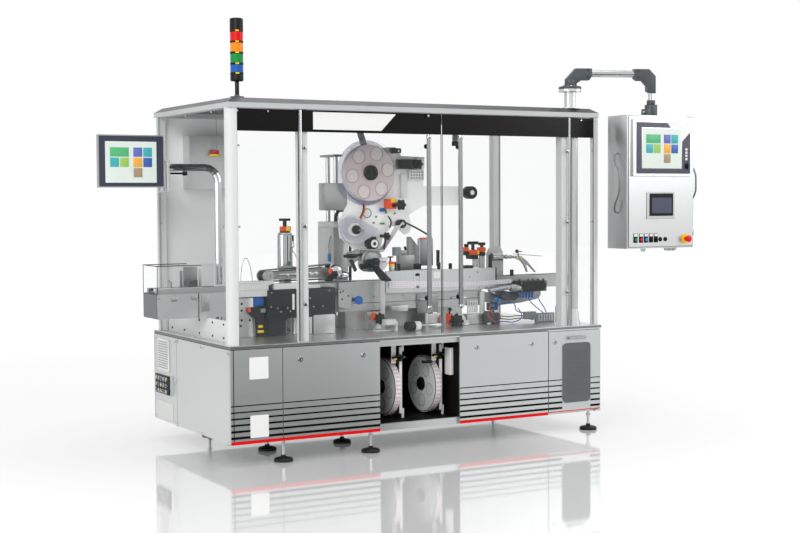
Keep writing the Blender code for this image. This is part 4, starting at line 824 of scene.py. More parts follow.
# %% Screen tiles
TILE_LOOKS = {"leaf": (0.1, 0.47, 0.2), "teal": (0.06, 0.42, 0.45), "lime": (0.33, 0.56, 0.13),
    "violet": (0.13, 0.16, 0.48), "amber": (0.85, 0.42, 0.06), "navy": (0.05, 0.13, 0.42),
    "sand": (0.38, 0.29, 0.19)}
TILES = (("leaf", 0, 0, 2), ("teal", 0, 1, 1), ("lime", 1, 1, 1), ("violet", 2.36, 0, 1),
    ("teal", 3.36, 0, 1), ("amber", 2.36, 1, 1), ("navy", 3.36, 1, 1), ("sand", 2.36, 2, 1))
tile_finish = {name: plastic("tile_" + name, colour, 0.3) for name, colour in TILE_LOOKS.items()}
SLOTS["lamp_lens"] += tuple(tile_finish.values())
GLASS_PALE = plastic("screen_pale", (0.72, 0.8, 0.74), 0.2)
GLASS_DARK = plastic("screen_dark", (0.075, 0.085, 0.13), 0.2)
BEZEL = painted("bezel_navy", (0.03, 0.034, 0.065), 0.35, 0.003)
SLOTS["black"] += (BEZEL, GLASS_DARK)
SLOTS["white_plate"] += (GLASS_PALE,)


def tiles(prefix, left, top, pitch, front, matrix, body):
    """The menu's tiles from the left top corner, each pitch wide, on the plane y = front."""
    size = pitch * 0.9
    for number, (name, column, row, wide) in enumerate(TILES):
        x = left + column * pitch
        z = top - row * pitch
        tile = bar((x, front - 0.0012, z - size),
            (x + pitch * (wide - 1) + size, front - 0.0001, z), 0.0003)
        gather(f"{prefix}_tile_{number}", tile_finish[name], [moved(tile, matrix)], body)


# %% [markdown]
# ## Side monitor
# The monitor is a slim case with a silver frame, a navy border and a pale screen. It hangs on the
# bent tube by a fork and a knuckle with a clamping knob, so it can be turned to the operator.

# %% Side monitor
MONITOR = (-0.56, 1.672, -0.15, 1.998)
MONITOR_FRONT = 0.72
SCREEN = (-0.513, 1.702, -0.183, 1.957)
STILL = Matrix.Identity(4)
left, low, right, high = MONITOR
RIM_RIGHT = -0.134
gather("monitor_rim", ALUMINIUM, [hoop(rounded(left, low, RIM_RIGHT, high, 0.008),
    rounded(left + 0.007, low + 0.007, RIM_RIGHT - 0.004, high - 0.007, 0.005), "Y",
    MONITOR_FRONT - 0.006, MONITOR_FRONT - 0.0003)], "monitor")
gather("monitor_border", BEZEL, [pad(left + 0.006, low + 0.006, RIM_RIGHT - 0.003, high - 0.006,
    0.005, "Y", MONITOR_FRONT - 0.004, MONITOR_FRONT - 0.0004)], "monitor")
gather("monitor_screen", GLASS_PALE,
    [pad(*SCREEN, 0.002, "Y", MONITOR_FRONT - 0.0046, MONITOR_FRONT - 0.0041)], "monitor")
tiles("monitor", -0.483, 1.92, 0.0635, MONITOR_FRONT - 0.0046, STILL, "monitor")
gather("monitor_fins", CASTING, [(x, 0.7752, low + 0.07, x + 0.004, 0.782, high - 0.07, 0.001)
    for x in (left + 0.09 + 0.022 * number for number in range(11))], "monitor")
knuckle_caps = [rod("Z", -0.11, 0.8, z, z + 0.007, 0.0215, 0.0015) for z in (1.6418, 1.8388)]
knob_stem = rod("X", 0.778, 1.762, -0.07, 0.02, 0.006, 0.001, 16)
knob = rod("X", 0.778, 1.762, 0.014, 0.042, 0.014, 0.003, 20)
gather("monitor_knuckle_caps", CHROME,
    knuckle_caps[:1] + [rod("X", 0.772, 1.784, -0.07, 0.01, 0.004, 0.0008, 16)])
gather("monitor_knob", BLACK, [knob, knob_stem])
gather("monitor_knuckle_cap_top", CHROME, knuckle_caps[1:], "monitor")

# %% [markdown]
# ## Control cabinet
# The cabinet hangs from the arm, so its fittings are drawn on its own axes: x across the front, y
# towards the back, with the arm's end as the middle. One matrix then sets them all in place.

# %% Control cabinet axes
SWIVEL = (2.5465, 0.09)
ARM_TURN = math.radians(-21.08)
ARM_REACH = 0.5718
CABINET_TURN = math.radians(1.0)
ARM_END = Vector((*SWIVEL, 0)) + ARM_REACH * Vector((math.cos(ARM_TURN), math.sin(ARM_TURN), 0))
CABINET = Matrix.Translation(ARM_END) @ Matrix.Rotation(CABINET_TURN, 4, "Z")
CABINET_FRONT = -0.1025
HANGS = "control_cabinet"


def hung(name, look, shapes, **more):
    gather(name, look, [moved(shape, CABINET) for shape in shapes], HANGS, **more)


# %% Cabinet case and bow handles
CASE = (0.295, 0.1025, 1.248, 2.15)
half_wide, half_deep, case_low, case_high = CASE
BOW = (0.044, 1.492, 1.893)
bow_proud, bow_low, bow_high = BOW
hung("cabinet_case", SHEET_UP, [bar((-half_wide, -half_deep, case_low),
    (half_wide, half_deep, case_high), 0.004, 2)])
bows = []
for way in (-1, 1):
    wall, out = way * half_wide, way * (half_wide + bow_proud)
    middle = (bow_low + bow_high) / 2
    route = [(wall, -0.02, bow_high), (wall + way * 0.02, -0.008, bow_high - 0.004),
        (wall + way * 0.032, -0.014, bow_high - 0.04), (out, -0.072, middle + 0.07),
        (out, -0.08, middle), (out, -0.072, middle - 0.07),
        (wall + way * 0.032, -0.014, bow_low + 0.04), (wall + way * 0.02, -0.008, bow_low + 0.004),
        (wall, -0.02, bow_low)]
    bows.append(pipe(route, 0.0062, 12))
hung("cabinet_bows", SHEET_DARK, bows, stands_for=("control_cabinet",))

# %% Cabinet door, hood and screen
hung("cabinet_door", SHEET_UP, [pad(-0.281, 1.26, 0.289, 2.142, 0.006, "Y", CABINET_FRONT - 0.0045,
    CABINET_FRONT - 0.0004, 0.0012)])
hung("cabinet_door_seal", RUBBER, [
    hoop(rounded(-0.2835, 1.2575, 0.2915, 2.1445, 0.007),
    rounded(-0.2812, 1.2598, 0.2892, 2.1422, 0.006), "Y", CABINET_FRONT - 0.002,
    CABINET_FRONT - 0.0004)])
HOOD = (-0.257, 1.739, 0.276, 2.122)
HOOD_FRONT = CABINET_FRONT - 0.0215
hung("screen_hood", SHEET_UP, [hoop(rounded(*HOOD, 0.006),
    rounded(HOOD[0] + 0.006, HOOD[1] + 0.006, HOOD[2] - 0.006, HOOD[3] - 0.006, 0.003), "Y",
    HOOD_FRONT, CABINET_FRONT - 0.0048),
    plate(rounded(HOOD[0] + 0.0055, HOOD[1] + 0.0055, HOOD[2] - 0.0055, HOOD[3] - 0.0055, 0.003),
    "Y", HOOD_FRONT + 0.002, CABINET_FRONT - 0.006)])
BORDER = (-0.228, 1.756, 0.246, 2.101)
border_front = HOOD_FRONT - 0.001
hung("cabinet_screen_border", BEZEL, [pad(*BORDER, 0.004, "Y", border_front, HOOD_FRONT + 0.0018)])
corner = [(0.04, 2.0995), (0.072, 2.0665), (0.169, 2.0665), (0.169, 1.973), (0.2445, 2.042),
    (0.2445, 2.0995)]
hung("screen_corner_white", WHITE_FILM,
    [plate(corner[::-1], "Y", border_front - 0.0006, border_front - 0.0001)])
hung("cabinet_screen_edge", CHROME,
    [pad(-0.186, 1.79, 0.1685, 2.066, 0.003, "Y", border_front - 0.0014, border_front - 0.0007)])
hung("cabinet_screen", GLASS_PALE,
    [pad(-0.182, 1.794, 0.1645, 2.062, 0.002, "Y", border_front - 0.0019, border_front - 0.0015)])
tiles("cabinet", -0.149, 2.02, 0.066, border_front - 0.0019, CABINET, HANGS)
hung("screen_keys", WHITE, [(0.2, border_front - 0.003, z, 0.218, border_front - 0.0002, z + 0.016,
    0.001) for z in (1.848, 1.87, 1.892, 1.914)])
hung("screen_lock", BLACK, [rod("Y", 0.214, 1.808, border_front - 0.0002, border_front - 0.008,
    0.016, 0.002), (0.2105, border_front - 0.014, 1.784, 0.2175, border_front - 0.007, 1.832,
    0.001)])

# %% [markdown]
# Below the screen sit a small touch panel, a row of push buttons with bare label plates, and the
# emergency stop, a red mushroom on a yellow disc.

# %% Touch panel, buttons and emergency stop
door_front = CABINET_FRONT - 0.0046
hung("touch_frame", ALUMINIUM, [pad(-0.128, 1.447, 0.118, 1.631, 0.004, "Y", door_front - 0.005,
    door_front, 0.001)])
hung("touch_border", BLACK, [pad(-0.106, 1.468, 0.1035, 1.621, 0.003, "Y", door_front - 0.0062,
    door_front - 0.0051)])
hung("touch_screen", GLASS_DARK, [pad(-0.084, 1.487, 0.09, 1.592, 0.002, "Y", door_front - 0.0067,
    door_front - 0.0063)])
BUTTONS = ((-0.223, GREEN, "green"), (-0.174, RED, "red"), (-0.131, SKY, "blue"),
    (-0.087, BLACK, "selector_left"), (-0.044, BLACK, "selector_right"),
    (-0.006, BLACK, "black_left"), (0.039, BLACK, "black_right"))
BUTTON_Z = 1.309
collars = []
for x, look, name in BUTTONS:
    collars.append(turned([(0.0112, 0), (0.0155, 0), (0.015, 0.004), (0.0112, 0.0045)],
        (x, door_front, BUTTON_Z), (x, door_front - 1, BUTTON_Z), 28))
    head = [rod("Y", x, BUTTON_Z, door_front, door_front - 0.0075, 0.011, 0.0012, 24)]
    if name.startswith("selector"):
        head.append(bar((x - 0.003, door_front - 0.015, BUTTON_Z - 0.013),
            (x + 0.003, door_front - 0.007, BUTTON_Z + 0.013), 0.001))
    hung("button_" + name, look, head)
hung("button_holders", BLACK, [pad(x - 0.0185, 1.288, x + 0.0165, 1.3505, 0.003, "Y",
    door_front - 0.0018, door_front - 0.0001) for x, look, name in BUTTONS[:5]])
hung("button_collars", BLACK, collars)
hung("button_labels", WHITE, [pad(x - 0.0145, 1.33, x + 0.0145, 1.348, 0.002, "Y",
    door_front - 0.0026, door_front - 0.0019) for x, look, name in BUTTONS[:5]])
STOP = (0.218, 1.309)
stop_at = Vector((STOP[0], door_front, STOP[1]))
hung("stop_disc", YELLOW, [round_bar(stop_at, stop_at + Vector((0, -0.008, 0)), 0.033, 0.002, 36)])
mushroom = [(0, 0), (0.015, 0), (0.015, 0.02), (0.0225, 0.024), (0.0245, 0.031), (0.022, 0.038),
    (0.013, 0.042), (0, 0.043)]
hung("stop_button", RED, [turned(mushroom, stop_at + Vector((0, -0.006, 0)),
    stop_at + Vector((0, -1, 0)), 36)])
gland = [(0, 0), (0.019, 0), (0.019, -0.01), (0.014, -0.014), (0.014, -0.024), (0, -0.024)]
hung("cabinet_glands", STEEL, [turned([(r, -h) for r, h in gland], (x, y, 1.2478), (x, y, 0.2478),
    20) for x, y in ((-0.092, -0.03), (0.15, 0.01), (0.185, 0.01), (0.22, 0.01))])
hung("cabinet_socket", CASTING, [rod("Z", 0, 0, 2.1505, 2.229, 0.043, 0.003),
    (-0.062, -0.032, 2.1502, -0.02, 0.032, 2.2, 0.006)])
hung("socket_lever", CHROME, [rod("X", -0.01, 2.178, -0.06, -0.078, 0.007, 0.001, 18)])
hung("door_hinges", STEEL, [rod("Z", 0.292, CABINET_FRONT - 0.001, z, z + 0.055, 0.005, 0.001, 16)
    for z in (1.33, 2.02)])
hung("back_cover", SHEET_UP, [pad(-0.27, 1.275, 0.27, 2.12, 0.01, "Y", 0.1028, 0.1065, 0.001)])

# %% [markdown]
# ## Swing arm
# The arm is a polished tube between two cast elbows with cut-off corners. A plain sweep can't give
# the castings' flat cheeks, so each elbow is a plate cut to its side view, with broken edges, and
# the three pieces replace the CAD node. They are drawn in the arm's own upright plane.

# %% Swing arm
ARM_Z = 2.438
ARM = Matrix.Translation((*SWIVEL, ARM_Z)) @ Matrix.Rotation(ARM_TURN, 4, "Z")


def on_arm(name, look, shapes, **more):
    gather(name, look, [moved(shape, ARM) for shape in shapes], "swing_arm", **more)


near = [(-0.032, -0.082), (-0.032, -0.038), (0.034, 0.034), (0.148, 0.034), (0.148, -0.018),
    (0.13, -0.045), (0.075, -0.045), (0.042, -0.068), (0.036, -0.082)]
far = [(-0.127, 0.033), (-0.02, 0.033), (0.026, -0.015), (0.026, -0.131), (-0.012, -0.131),
    (-0.036, -0.115), (-0.036, -0.08), (-0.068, -0.046), (-0.105, -0.046), (-0.127, -0.03)]
elbows = [plate(near, "Y", -0.03, 0.03, 0.005, 2),
    plate([(ARM_REACH + x, z) for x, z in far], "Y", -0.03, 0.03, 0.005, 2)]
elbows += [rod("Z", 0, 0, -0.087, -0.04, 0.037, 0.002),
    rod("Z", 0, 0, -0.1065, -0.078, 0.048, 0.003), rod("Z", 0, 0, -0.106, -0.089, 0.077, 0.003, 40),
    rod("Z", ARM_REACH, 0, -0.207, -0.178, 0.029, 0.002)]
on_arm("arm_elbows", CASTING, elbows, stands_for=("swing_arm",))
on_arm("arm_tube", CHROME, [rod("X", 0, 0, 0.12, ARM_REACH - 0.11, 0.024, 0.0, 36),
    rod("Z", ARM_REACH, 0, -0.128, -0.207, 0.02, 0.0, 32)])
on_arm("arm_screws", BLACK_METAL, [cap_screw((x, -0.0302, z), FRONT, 0.005, 0.003)
    for x, z in ((0.118, 0.022), (0.118, -0.024), (ARM_REACH - 0.1, 0.022),
    (ARM_REACH - 0.1, -0.024))])
flange_top = Vector((*SWIVEL, 2.3497))
bolts = []
for number in range(6):
    turn = math.tau * number / 6
    place = flange_top + 0.063 * Vector((math.cos(turn), math.sin(turn), 0))
    bolts.append(cap_screw(place, UP, 0.006, 0.005))
gather("swivel_bolts", STEEL, bolts, "swing_arm")
stub_lip = turned(flat(0.0415, 0.079, 0, 0.0035), (*SWIVEL, 2.3168), (*SWIVEL, 3.3), 40)
gather("stub_lip", STEEL, [moved(stub_lip, Matrix.Translation((0, 0, -0.0036)))])

# %% [markdown]
# ## Infeed
# The trough and the clear tunnel over it reach out to the left. The tunnel is bent from sheet, so
# its free edges carry a thin black profile, and that is what the eye finds first on a clear box.

# %% Infeed trough and tunnel
gather("trough_end", SHEET_DARK, [pad(0.493, 0.865, 0.737, 1.013, 0.002, "X", -0.2735, -0.2722)])
TUNNEL_TOP = 1.1862
TRIM = 0.005
gather("tunnel_edges", BLACK, [(-0.2715, 0.487, TUNNEL_TOP, 0.017, 0.49, TUNNEL_TOP + TRIM, 0.0005),
    (-0.2725, 0.4865, 1.016, -0.269, 0.4895, TUNNEL_TOP, 0.0003),
    (-0.2725, 0.74, 1.016, -0.269, 0.743, TUNNEL_TOP, 0.0003),
    (-0.2715, 0.739, TUNNEL_TOP, 0.017, 0.743, TUNNEL_TOP + TRIM, 0.0005),
    (-0.2725, 0.487, TUNNEL_TOP, -0.269, 0.743, TUNNEL_TOP + TRIM, 0.0005),
    (-0.2735, 0.488, 1.013, -0.2705, 0.743, 1.0165, 0.0003)])
gather("trough_seam", BLACK, [(-0.004, 0.4872, 0.856, 0.0, 0.4886, 1.0165)])
gather("trough_clamps", ALUMINIUM,
    [(0.017, 0.478, 0.9, 0.066, 0.4886, 1.01, 0.003),
    (-0.18, 0.48, 0.97, -0.145, 0.4886, 1.0, 0.002),
    (-0.05, 0.48, 0.975, -0.015, 0.4886, 1.005, 0.002)])
gather("trough_screws", STEEL, screws(
    [(x, 0.4872, z) for x in (-0.265, -0.012) for z in (0.99, 0.875)], 0.005, 0.004))
gather("infeed_rail", WHITE_METAL,
    [(-0.265, 0.555, 1.029, 0.055, 0.575, 1.048, 0.002),
    (0.126, 0.55, 1.048, 0.213, 0.56, 1.06, 0.002)])
gather("infeed_gate", BLACK, [(-0.02, 0.59, 1.043, 0.034, 0.64, 1.09, 0.004),
    rod("Y", -0.02, 1.048, 0.58, 0.57, 0.016, 0.003, 20)])
gather("infeed_posts", SHEET_DARK,
    [(-0.072, 0.62, 1.043, -0.056, 0.632, 1.15, 0.001),
    (-0.02, 0.7, 1.043, 0.074, 0.71, 1.17, 0.002)])
gather("infeed_bracket", ALUMINIUM, [(0.047, 0.6, 1.013, 0.064, 0.612, 1.161, 0.002)])
gather("tunnel_lever", GREY_PLASTIC,
    [round_bar((-0.158, 0.6, 1.092), (-0.14, 0.6, 1.08), 0.006, 0.001, 16),
    rod("Z", -0.14, 0.6, 1.043, 1.082, 0.006, 0.001, 16)])
gather("splash_plate", WHITE_METAL, [(0.06, 0.1, 0.7257, 0.064, 1.19, 0.86, 0.001)])
gather("splash_bolts", BLACK_METAL,
    screws([(0.0598, y, z) for y in (0.24, 0.42, 0.64, 0.9, 1.12) for z in (0.752, 0.835)], 0.007,
    0.004, LEFT))
wire_loop = [(0.263, 0.45, 1.07), (0.268, 0.45, 1.14), (0.28, 0.45, 1.2), (0.3, 0.45, 1.226),
    (0.322, 0.45, 1.195), (0.338, 0.45, 1.13), (0.346, 0.45, 1.07)]
gather("wire_loop", STEEL, [pipe(wire_loop, 0.0026)])

# %% [markdown]
# ## Conveyor
# The belt is a flat slat chain in black plastic. The rails are thin strips on round posts, and the
# body's front carries a row of cap screws.

# %% Conveyor details
BELT_TOP = 1.0422
gather("belt_slats", RUBBER, [(x, 0.562, BELT_TOP + 0.0002, x + 0.0355, 0.668, BELT_TOP + 0.0012,
    0.0004) for x in (-0.25 + 0.0375 * number for number in range(83))])
gather("rail_screws", STEEL, screws([(x, 0.5307, 0.975) for x in (1.05, 1.32, 1.6, 2.08, 2.25)],
    0.006, 0.004))
gather("body_screws", STEEL, screws(
    [(x, 0.5122, z) for x in (1.03, 1.25, 1.47, 1.69, 1.91, 2.07) for z in (0.872, 0.945)], 0.0065,
    0.005))
gather("body_line", BLACK_FILM, [(0.99, 0.5119, 0.903, 2.095, 0.5123, 0.906)])

# %% [markdown]
# ## Left tools
# A pale cover lies over the screw drive at the infeed. Below it stand a bored fixing plate, a blue
# motor block and a dark clamp column with its position counter.

# %% Left cover and fixings
cover_outline = [(0.252, 0.982), (0.446, 0.982), (0.446, 1.05), (0.47, 1.06), (0.47, 1.066),
    (0.252, 1.066)]
gather("left_cover", WHITE_METAL, [plate(cover_outline, "Y", 0.429, 0.529, 0.003, 2),
    (0.25, 0.43, 1.0665, 0.482, 0.529, 1.0785, 0.002)])
gather("cover_seam", GREY_BLOCK, [(0.252, 0.4283, 1.023, 0.446, 0.4289, 1.0245)])
gather("motor_block", BLUE, [(0.344, 0.452, 0.919, 0.424, 0.545, 0.981, 0.004)])
holes = [(0.27, 0.939), (0.269, 0.896), (0.269, 0.836), (0.324, 0.834), (0.262, 0.8)]
gather("fixing_plate", ALUMINIUM, [(0.25, 0.452, ON_DECK, 0.35, 0.464, 0.977, 0.002),
    (0.262, 0.464, ON_DECK, 0.34, 0.5, 0.95, 0.002)])
gather("fixing_bores", BLACK, [rod("Y", x, z, 0.4522, 0.4512, 0.0075, 0, 20) for x, z in holes])
column = [(0.364, ON_DECK), (0.418, ON_DECK), (0.418, 0.88), (0.424, 0.918), (0.312, 0.916),
    (0.314, 0.88), (0.356, 0.842)]
gather("clamp_column", BLACK_METAL, [plate(column, "Y", 0.433, 0.45, 0.003)])
gather("counter_orange", ORANGE, [(0.305, 0.429, 0.886, 0.32, 0.442, 0.918, 0.002)])
gather("counter_window", GREY_PLASTIC, [(0.39, 0.429, 0.88, 0.424, 0.4335, 0.905, 0.002)])
gather("column_labels", YELLOW, [(0.373, 0.4318, 0.785, 0.405, 0.4328, 0.801, 0.0004),
    (0.368, 0.4318, 0.753, 0.41, 0.4328, 0.769, 0.0004)])
gather("fixing_posts", ALUMINIUM, [rod("Z", x, 0.5, ON_DECK, 0.864, 0.0205, 0.001, 28)
    for x in (0.514, 0.578, 0.66)])
gather("post_rings", BLACK_METAL, [rod("Z", x, 0.5, 0.82, 0.842, 0.026, 0.003, 28)
    for x in (0.514, 0.578)])
gather("gear_box", ALUMINIUM, [(0.756, 0.42, ON_DECK, 0.91, 0.56, 0.849, 0.003),
    (0.712, 0.43, ON_DECK, 0.752, 0.55, 0.838, 0.003)])

# %% Screw housing
HOUSING_FRONT = 0.4298
gather("housing_front", BLACK_METAL,
    [(0.435, HOUSING_FRONT - 0.0055, 0.84, 0.916, HOUSING_FRONT - 0.0002, 1.019, 0.0015)])
housing_screws = [(0.463, 1.004), (0.459, 0.914), (0.506, 0.905), (0.574, 0.902), (0.527, 0.881),
    (0.593, 0.88), (0.735, 0.96), (0.759, 0.904), (0.824, 0.904), (0.871, 1.005)]
gather("housing_screws", CHROME, screws([(x, HOUSING_FRONT - 0.0056, z) for x, z in housing_screws],
    0.005, 0.004))
gather("housing_slot", WHITE, [(0.608, HOUSING_FRONT - 0.0064, 0.89, 0.623, HOUSING_FRONT - 0.0057,
    0.99, 0.0003)])
gather("housing_ribs", BLACK, [(x, HOUSING_FRONT - 0.0061, 0.868, x + 0.002, HOUSING_FRONT - 0.0056,
    1.012) for x in (0.535, 0.655, 0.79)])
gather("housing_lip", WHITE_METAL,
    [(0.484, 0.432, 1.0225, 0.65, 0.47, 1.059, 0.002),
    (0.69, 0.432, 1.0225, 0.813, 0.47, 1.045, 0.002)])
gather("housing_feet", CHROME, [rod("Z", x, 0.45, 0.8585, 0.839, 0.013, 0.002, 24)
    for x in (0.585, 0.627, 0.69, 0.87, 0.935)])
bracket = [(0.956, 0.89), (1.03, 0.87), (1.062, 0.9), (1.05, 0.99), (1.01, 1.006), (0.956, 1.003)]
gather("screw_bracket", ALUMINIUM, [plate(bracket, "Y", 0.462, 0.478, 0.002)])
gather("bracket_bores", BLACK, [rod("Y", x, z, 0.4622, 0.4612, 0.006, 0, 18)
    for x, z in ((0.972, 0.985), (0.992, 0.992), (0.985, 0.94), (1.03, 0.96))])
gather("bracket_knob", BLUE, [turned(
    [(0, 0), (0.024, 0), (0.028, 0.004), (0.028, 0.018), (0.022, 0.023), (0, 0.024)],
    (1.098, 0.456, 0.93), (1.098, -0.544, 0.93), 36),
    rod("Y", 1.098, 0.93, 0.512, 0.455, 0.014, 0.001, 24)])

# %% [markdown]
# ## Hold down belt
# The belt presses the bottles down while the label goes on. It runs round a double pulley at the
# left and a drum with a turned dome at the right, between two thin side plates. It replaces one CAD
# solid.

# %% Hold down belt
FIRST = (0.467, 1.106, 0.038)
LAST = (0.935, 1.121, 0.05)
BELT_FRONT, BELT_BACK = 0.49, 0.578
outer = wrap(FIRST, LAST)
inner = wrap((FIRST[0], FIRST[1], FIRST[2] - 0.0045), (LAST[0], LAST[1], LAST[2] - 0.0045))
gather("press_belt", BLACK, [hoop(outer, inner, "Y", BELT_FRONT, BELT_BACK)],
    stands_for=("hold_down_belt",))
side = wrap((0.505, 1.1065, 0.024), (0.88, 1.1175, 0.033))
gather("press_side_plates", GREY_BLOCK,
    [plate(side, "Y", y, y + 0.006, 0.001) for y in (0.485, 0.577)]
    + [(0.56, 0.491, 1.093, 0.84, 0.577, 1.126, 0.003)])
PULLEY = [(0, 0), (0.014, 0), (0.014, -0.004), (0.027, -0.004), (0.029, 0), (0.0365, 0),
    (0.038, 0.003), (0.038, 0.013), (0.0335, 0.014), (0.0335, 0.03), (0, 0.03)]
gather("press_pulleys", ALUMINIUM,
    [turned(PULLEY, (FIRST[0], y, FIRST[1]), (FIRST[0], y + 1, FIRST[1]), 44)
    for y in (0.472, 0.556)])
gather("press_axle", CHROME, [rod("Y", FIRST[0], FIRST[1], 0.47, 0.592, 0.008, 0.001, 20),
    cap_screw((FIRST[0], 0.4705, FIRST[1]), FRONT, 0.009, 0.004)])
gather("press_links", CHROME, [rod("Y", x, z, 0.4848, 0.478, 0.012, 0.002, 24)
    for x, z in ((0.6, 1.109), (0.66, 1.11), (0.76, 1.114), (0.8, 1.115))]
    + [(0.54, 0.48, 1.105, 0.83, 0.4845, 1.118, 0.001)])
dome = [(0, 0), (0.047, 0), (0.05, -0.003), (0.05, -0.03), (0.046, -0.04), (0.036, -0.049),
    (0.02, -0.055), (0, -0.057)]
gather("press_dome", CHROME, [turned(dome, (0.938, 0.486, 1.124), (0.938, 1.486, 1.124), 48),
    round_bar((0.985, 0.49, 1.099), (1.04, 0.49, 1.096), 0.03, 0.003, 32, 0.022),
    rod("Y", LAST[0], LAST[1], BELT_FRONT, BELT_BACK + 0.01, 0.045, 0.002, 44)])
gather("press_counter", ORANGE, [(0.872, 0.425, 1.11, 0.9, 0.436, 1.143, 0.003)])


def star_knob(place, radius, way=FRONT, depth=0.02, points=6):
    """A six pointed clamping knob with rounded points."""
    outline = []
    for step in range(points * 6):
        turn = math.tau * step / (points * 6)
        outline.append((radius * (0.87 + 0.13 * math.cos(points * turn)) * math.cos(turn),
            radius * (0.87 + 0.13 * math.cos(points * turn)) * math.sin(turn)))
    shape = plate(outline, "Z", 0.0, depth, radius * 0.12, 2)
    cap = rod("Z", 0, 0, depth - 0.001, depth + 0.004, radius * 0.45, 0.001, 24)
    start = Vector(place)
    whole = along(start, start + Vector(way))
    return [moved(shape, whole), moved(cap, whole)]


gather("press_star", BLACK, star_knob((0.91, 0.436, 1.104), 0.029)
    + [(0.86, 0.43, 1.062, 0.905, 0.47, 1.08, 0.003)])
gather("press_bracket", GREY_BLOCK,
    [(0.662, 0.598, 1.086, 0.75, 0.7127, 1.1, 0.002),
    (0.662, 0.7, 1.086, 0.75, 0.7127, 1.155, 0.002)])
gather("press_arm", ALUMINIUM, [(0.672, 0.583, 1.099, 0.74, 0.6, 1.155, 0.002),
    rod("Y", 0.706, 1.125, 0.583, 0.713, 0.013, 0.001, 24)])

# %% [markdown]
# A bright cylinder carries the belt up and down. On top sit a position counter in orange with a
# yellow window and a stem with a T handle.

# %% Height adjuster
ADJUSTER = (0.714, 0.757)


def on_adjuster(profile, low, sides=44):
    return turned(profile, (*ADJUSTER, low), (*ADJUSTER, low + 1), sides)


gather("adjuster_cylinder", CHROME,
    [on_adjuster([(0, 0), (0.05, 0), (0.05, 0.205), (0.047, 0.208), (0, 0.208)], 1.156)],
    stands_for=("height_adjuster",))
gather("adjuster_foot", ALUMINIUM,
    [on_adjuster([(0, 0), (0.052, 0), (0.052, 0.012), (0.04, 0.016), (0.04, 0.35), (0.046, 0.356),
    (0.046, 0.412), (0.052, 0.418), (0.052, 0.43), (0, 0.43)], 0.7253)])
gather("adjuster_cap", ALUMINIUM, [
    on_adjuster([(0, 0), (0.046, 0), (0.044, 0.008), (0.038, 0.012), (0, 0.012)], 1.3645)])
gather("adjuster_ring", BLACK, [on_adjuster(
    [(0, 0), (0.033, 0), (0.034, 0.002), (0.034, 0.012), (0, 0.014)], 1.3766),
    round_bar((*ADJUSTER, 1.41), (*ADJUSTER, 1.458), 0.013, 0.002, 24),
    rod("X", ADJUSTER[1], 1.46, ADJUSTER[0] - 0.039, ADJUSTER[0] + 0.039, 0.0085, 0.002, 20)])
gather("adjuster_counter", ORANGE, [(0.676, 0.722, 1.383, 0.745, 0.76, 1.416, 0.004)])
gather("adjuster_window", YELLOW, [(0.708, 0.7195, 1.386, 0.738, 0.73, 1.413, 0.002)])
gather("adjuster_lever", BLACK, [(0.762, 0.735, 1.316, 0.77, 0.745, 1.358, 0.003)])
rib = bar((ADJUSTER[0] - 0.004 - 0.003, 0.7045, 1.16), (ADJUSTER[0] - 0.004 + 0.003, 0.7085, 1.356),
    0.001)
gather("adjuster_scale", GREEN, [(0.716, 0.704, 1.163, 0.724, 0.7062, 1.186, 0.0005)])
gather("adjuster_lead", BLACK_METAL,
    [pipe([(0.766, 0.74, 1.318), (0.77, 0.735, 1.29), (0.74, 0.7, 1.262), (0.762, 0.704, 1.232),
    (0.78, 0.715, 1.2)], 0.0022), rib])

# %% [markdown]
# ## Label head
# A plate on a carriage that slides on two rods carries the whole way of the paper: the reel above,
# the guide rollers, the bar that peels the labels off, and the rewind for the backing.

# %% Head column
gather("column_box", ALUMINIUM, [(1.0797, 0.7702, 0.7252, 1.1843, 1.0058, 1.4015, 0.002)]
    + [(0.919, 0.5724, 1.52, 1.29, 0.662, 1.7, 0.002),
    (1.0797, 0.6615, 1.52, 1.1843, 0.988, 1.7, 0.002)], stands_for=("head_column",))
gather("column_head", WHITE_METAL, [(1.0797, 0.7702, 1.402, 1.1843, 1.0058, 1.441, 0.003)])
gather("column_rods", CHROME, [rod("Z", 1.132, y, 1.4405, 1.881, 0.016) for y in (0.828, 0.948)])
gather("column_cap", GREY_BLOCK, [(1.0995, 0.79, 1.88, 1.1645, 1.0058, 1.8955, 0.002)])
gather("column_spindles", BLACK_METAL,
    [rod("Z", x, 0.85, 0.7252, 1.5195, 0.01) for x in (1.218, 1.248)])
loop = [(1.06, 0.7, 1.445), (1.068, 0.7, 1.49), (1.09, 0.7, 1.516), (1.118, 0.7, 1.518)]
gather("column_cable", BLACK, [pipe(loop, 0.011, 12)]
    + [pipe([(1.0745, 0.826, 1.225), (1.07, 0.815, 1.3), (1.0755, 0.8, 1.345)], 0.0022)])
gather("column_connector", SKY, [(1.066, 0.818, 1.171, 1.0792, 0.835, 1.225, 0.003)])

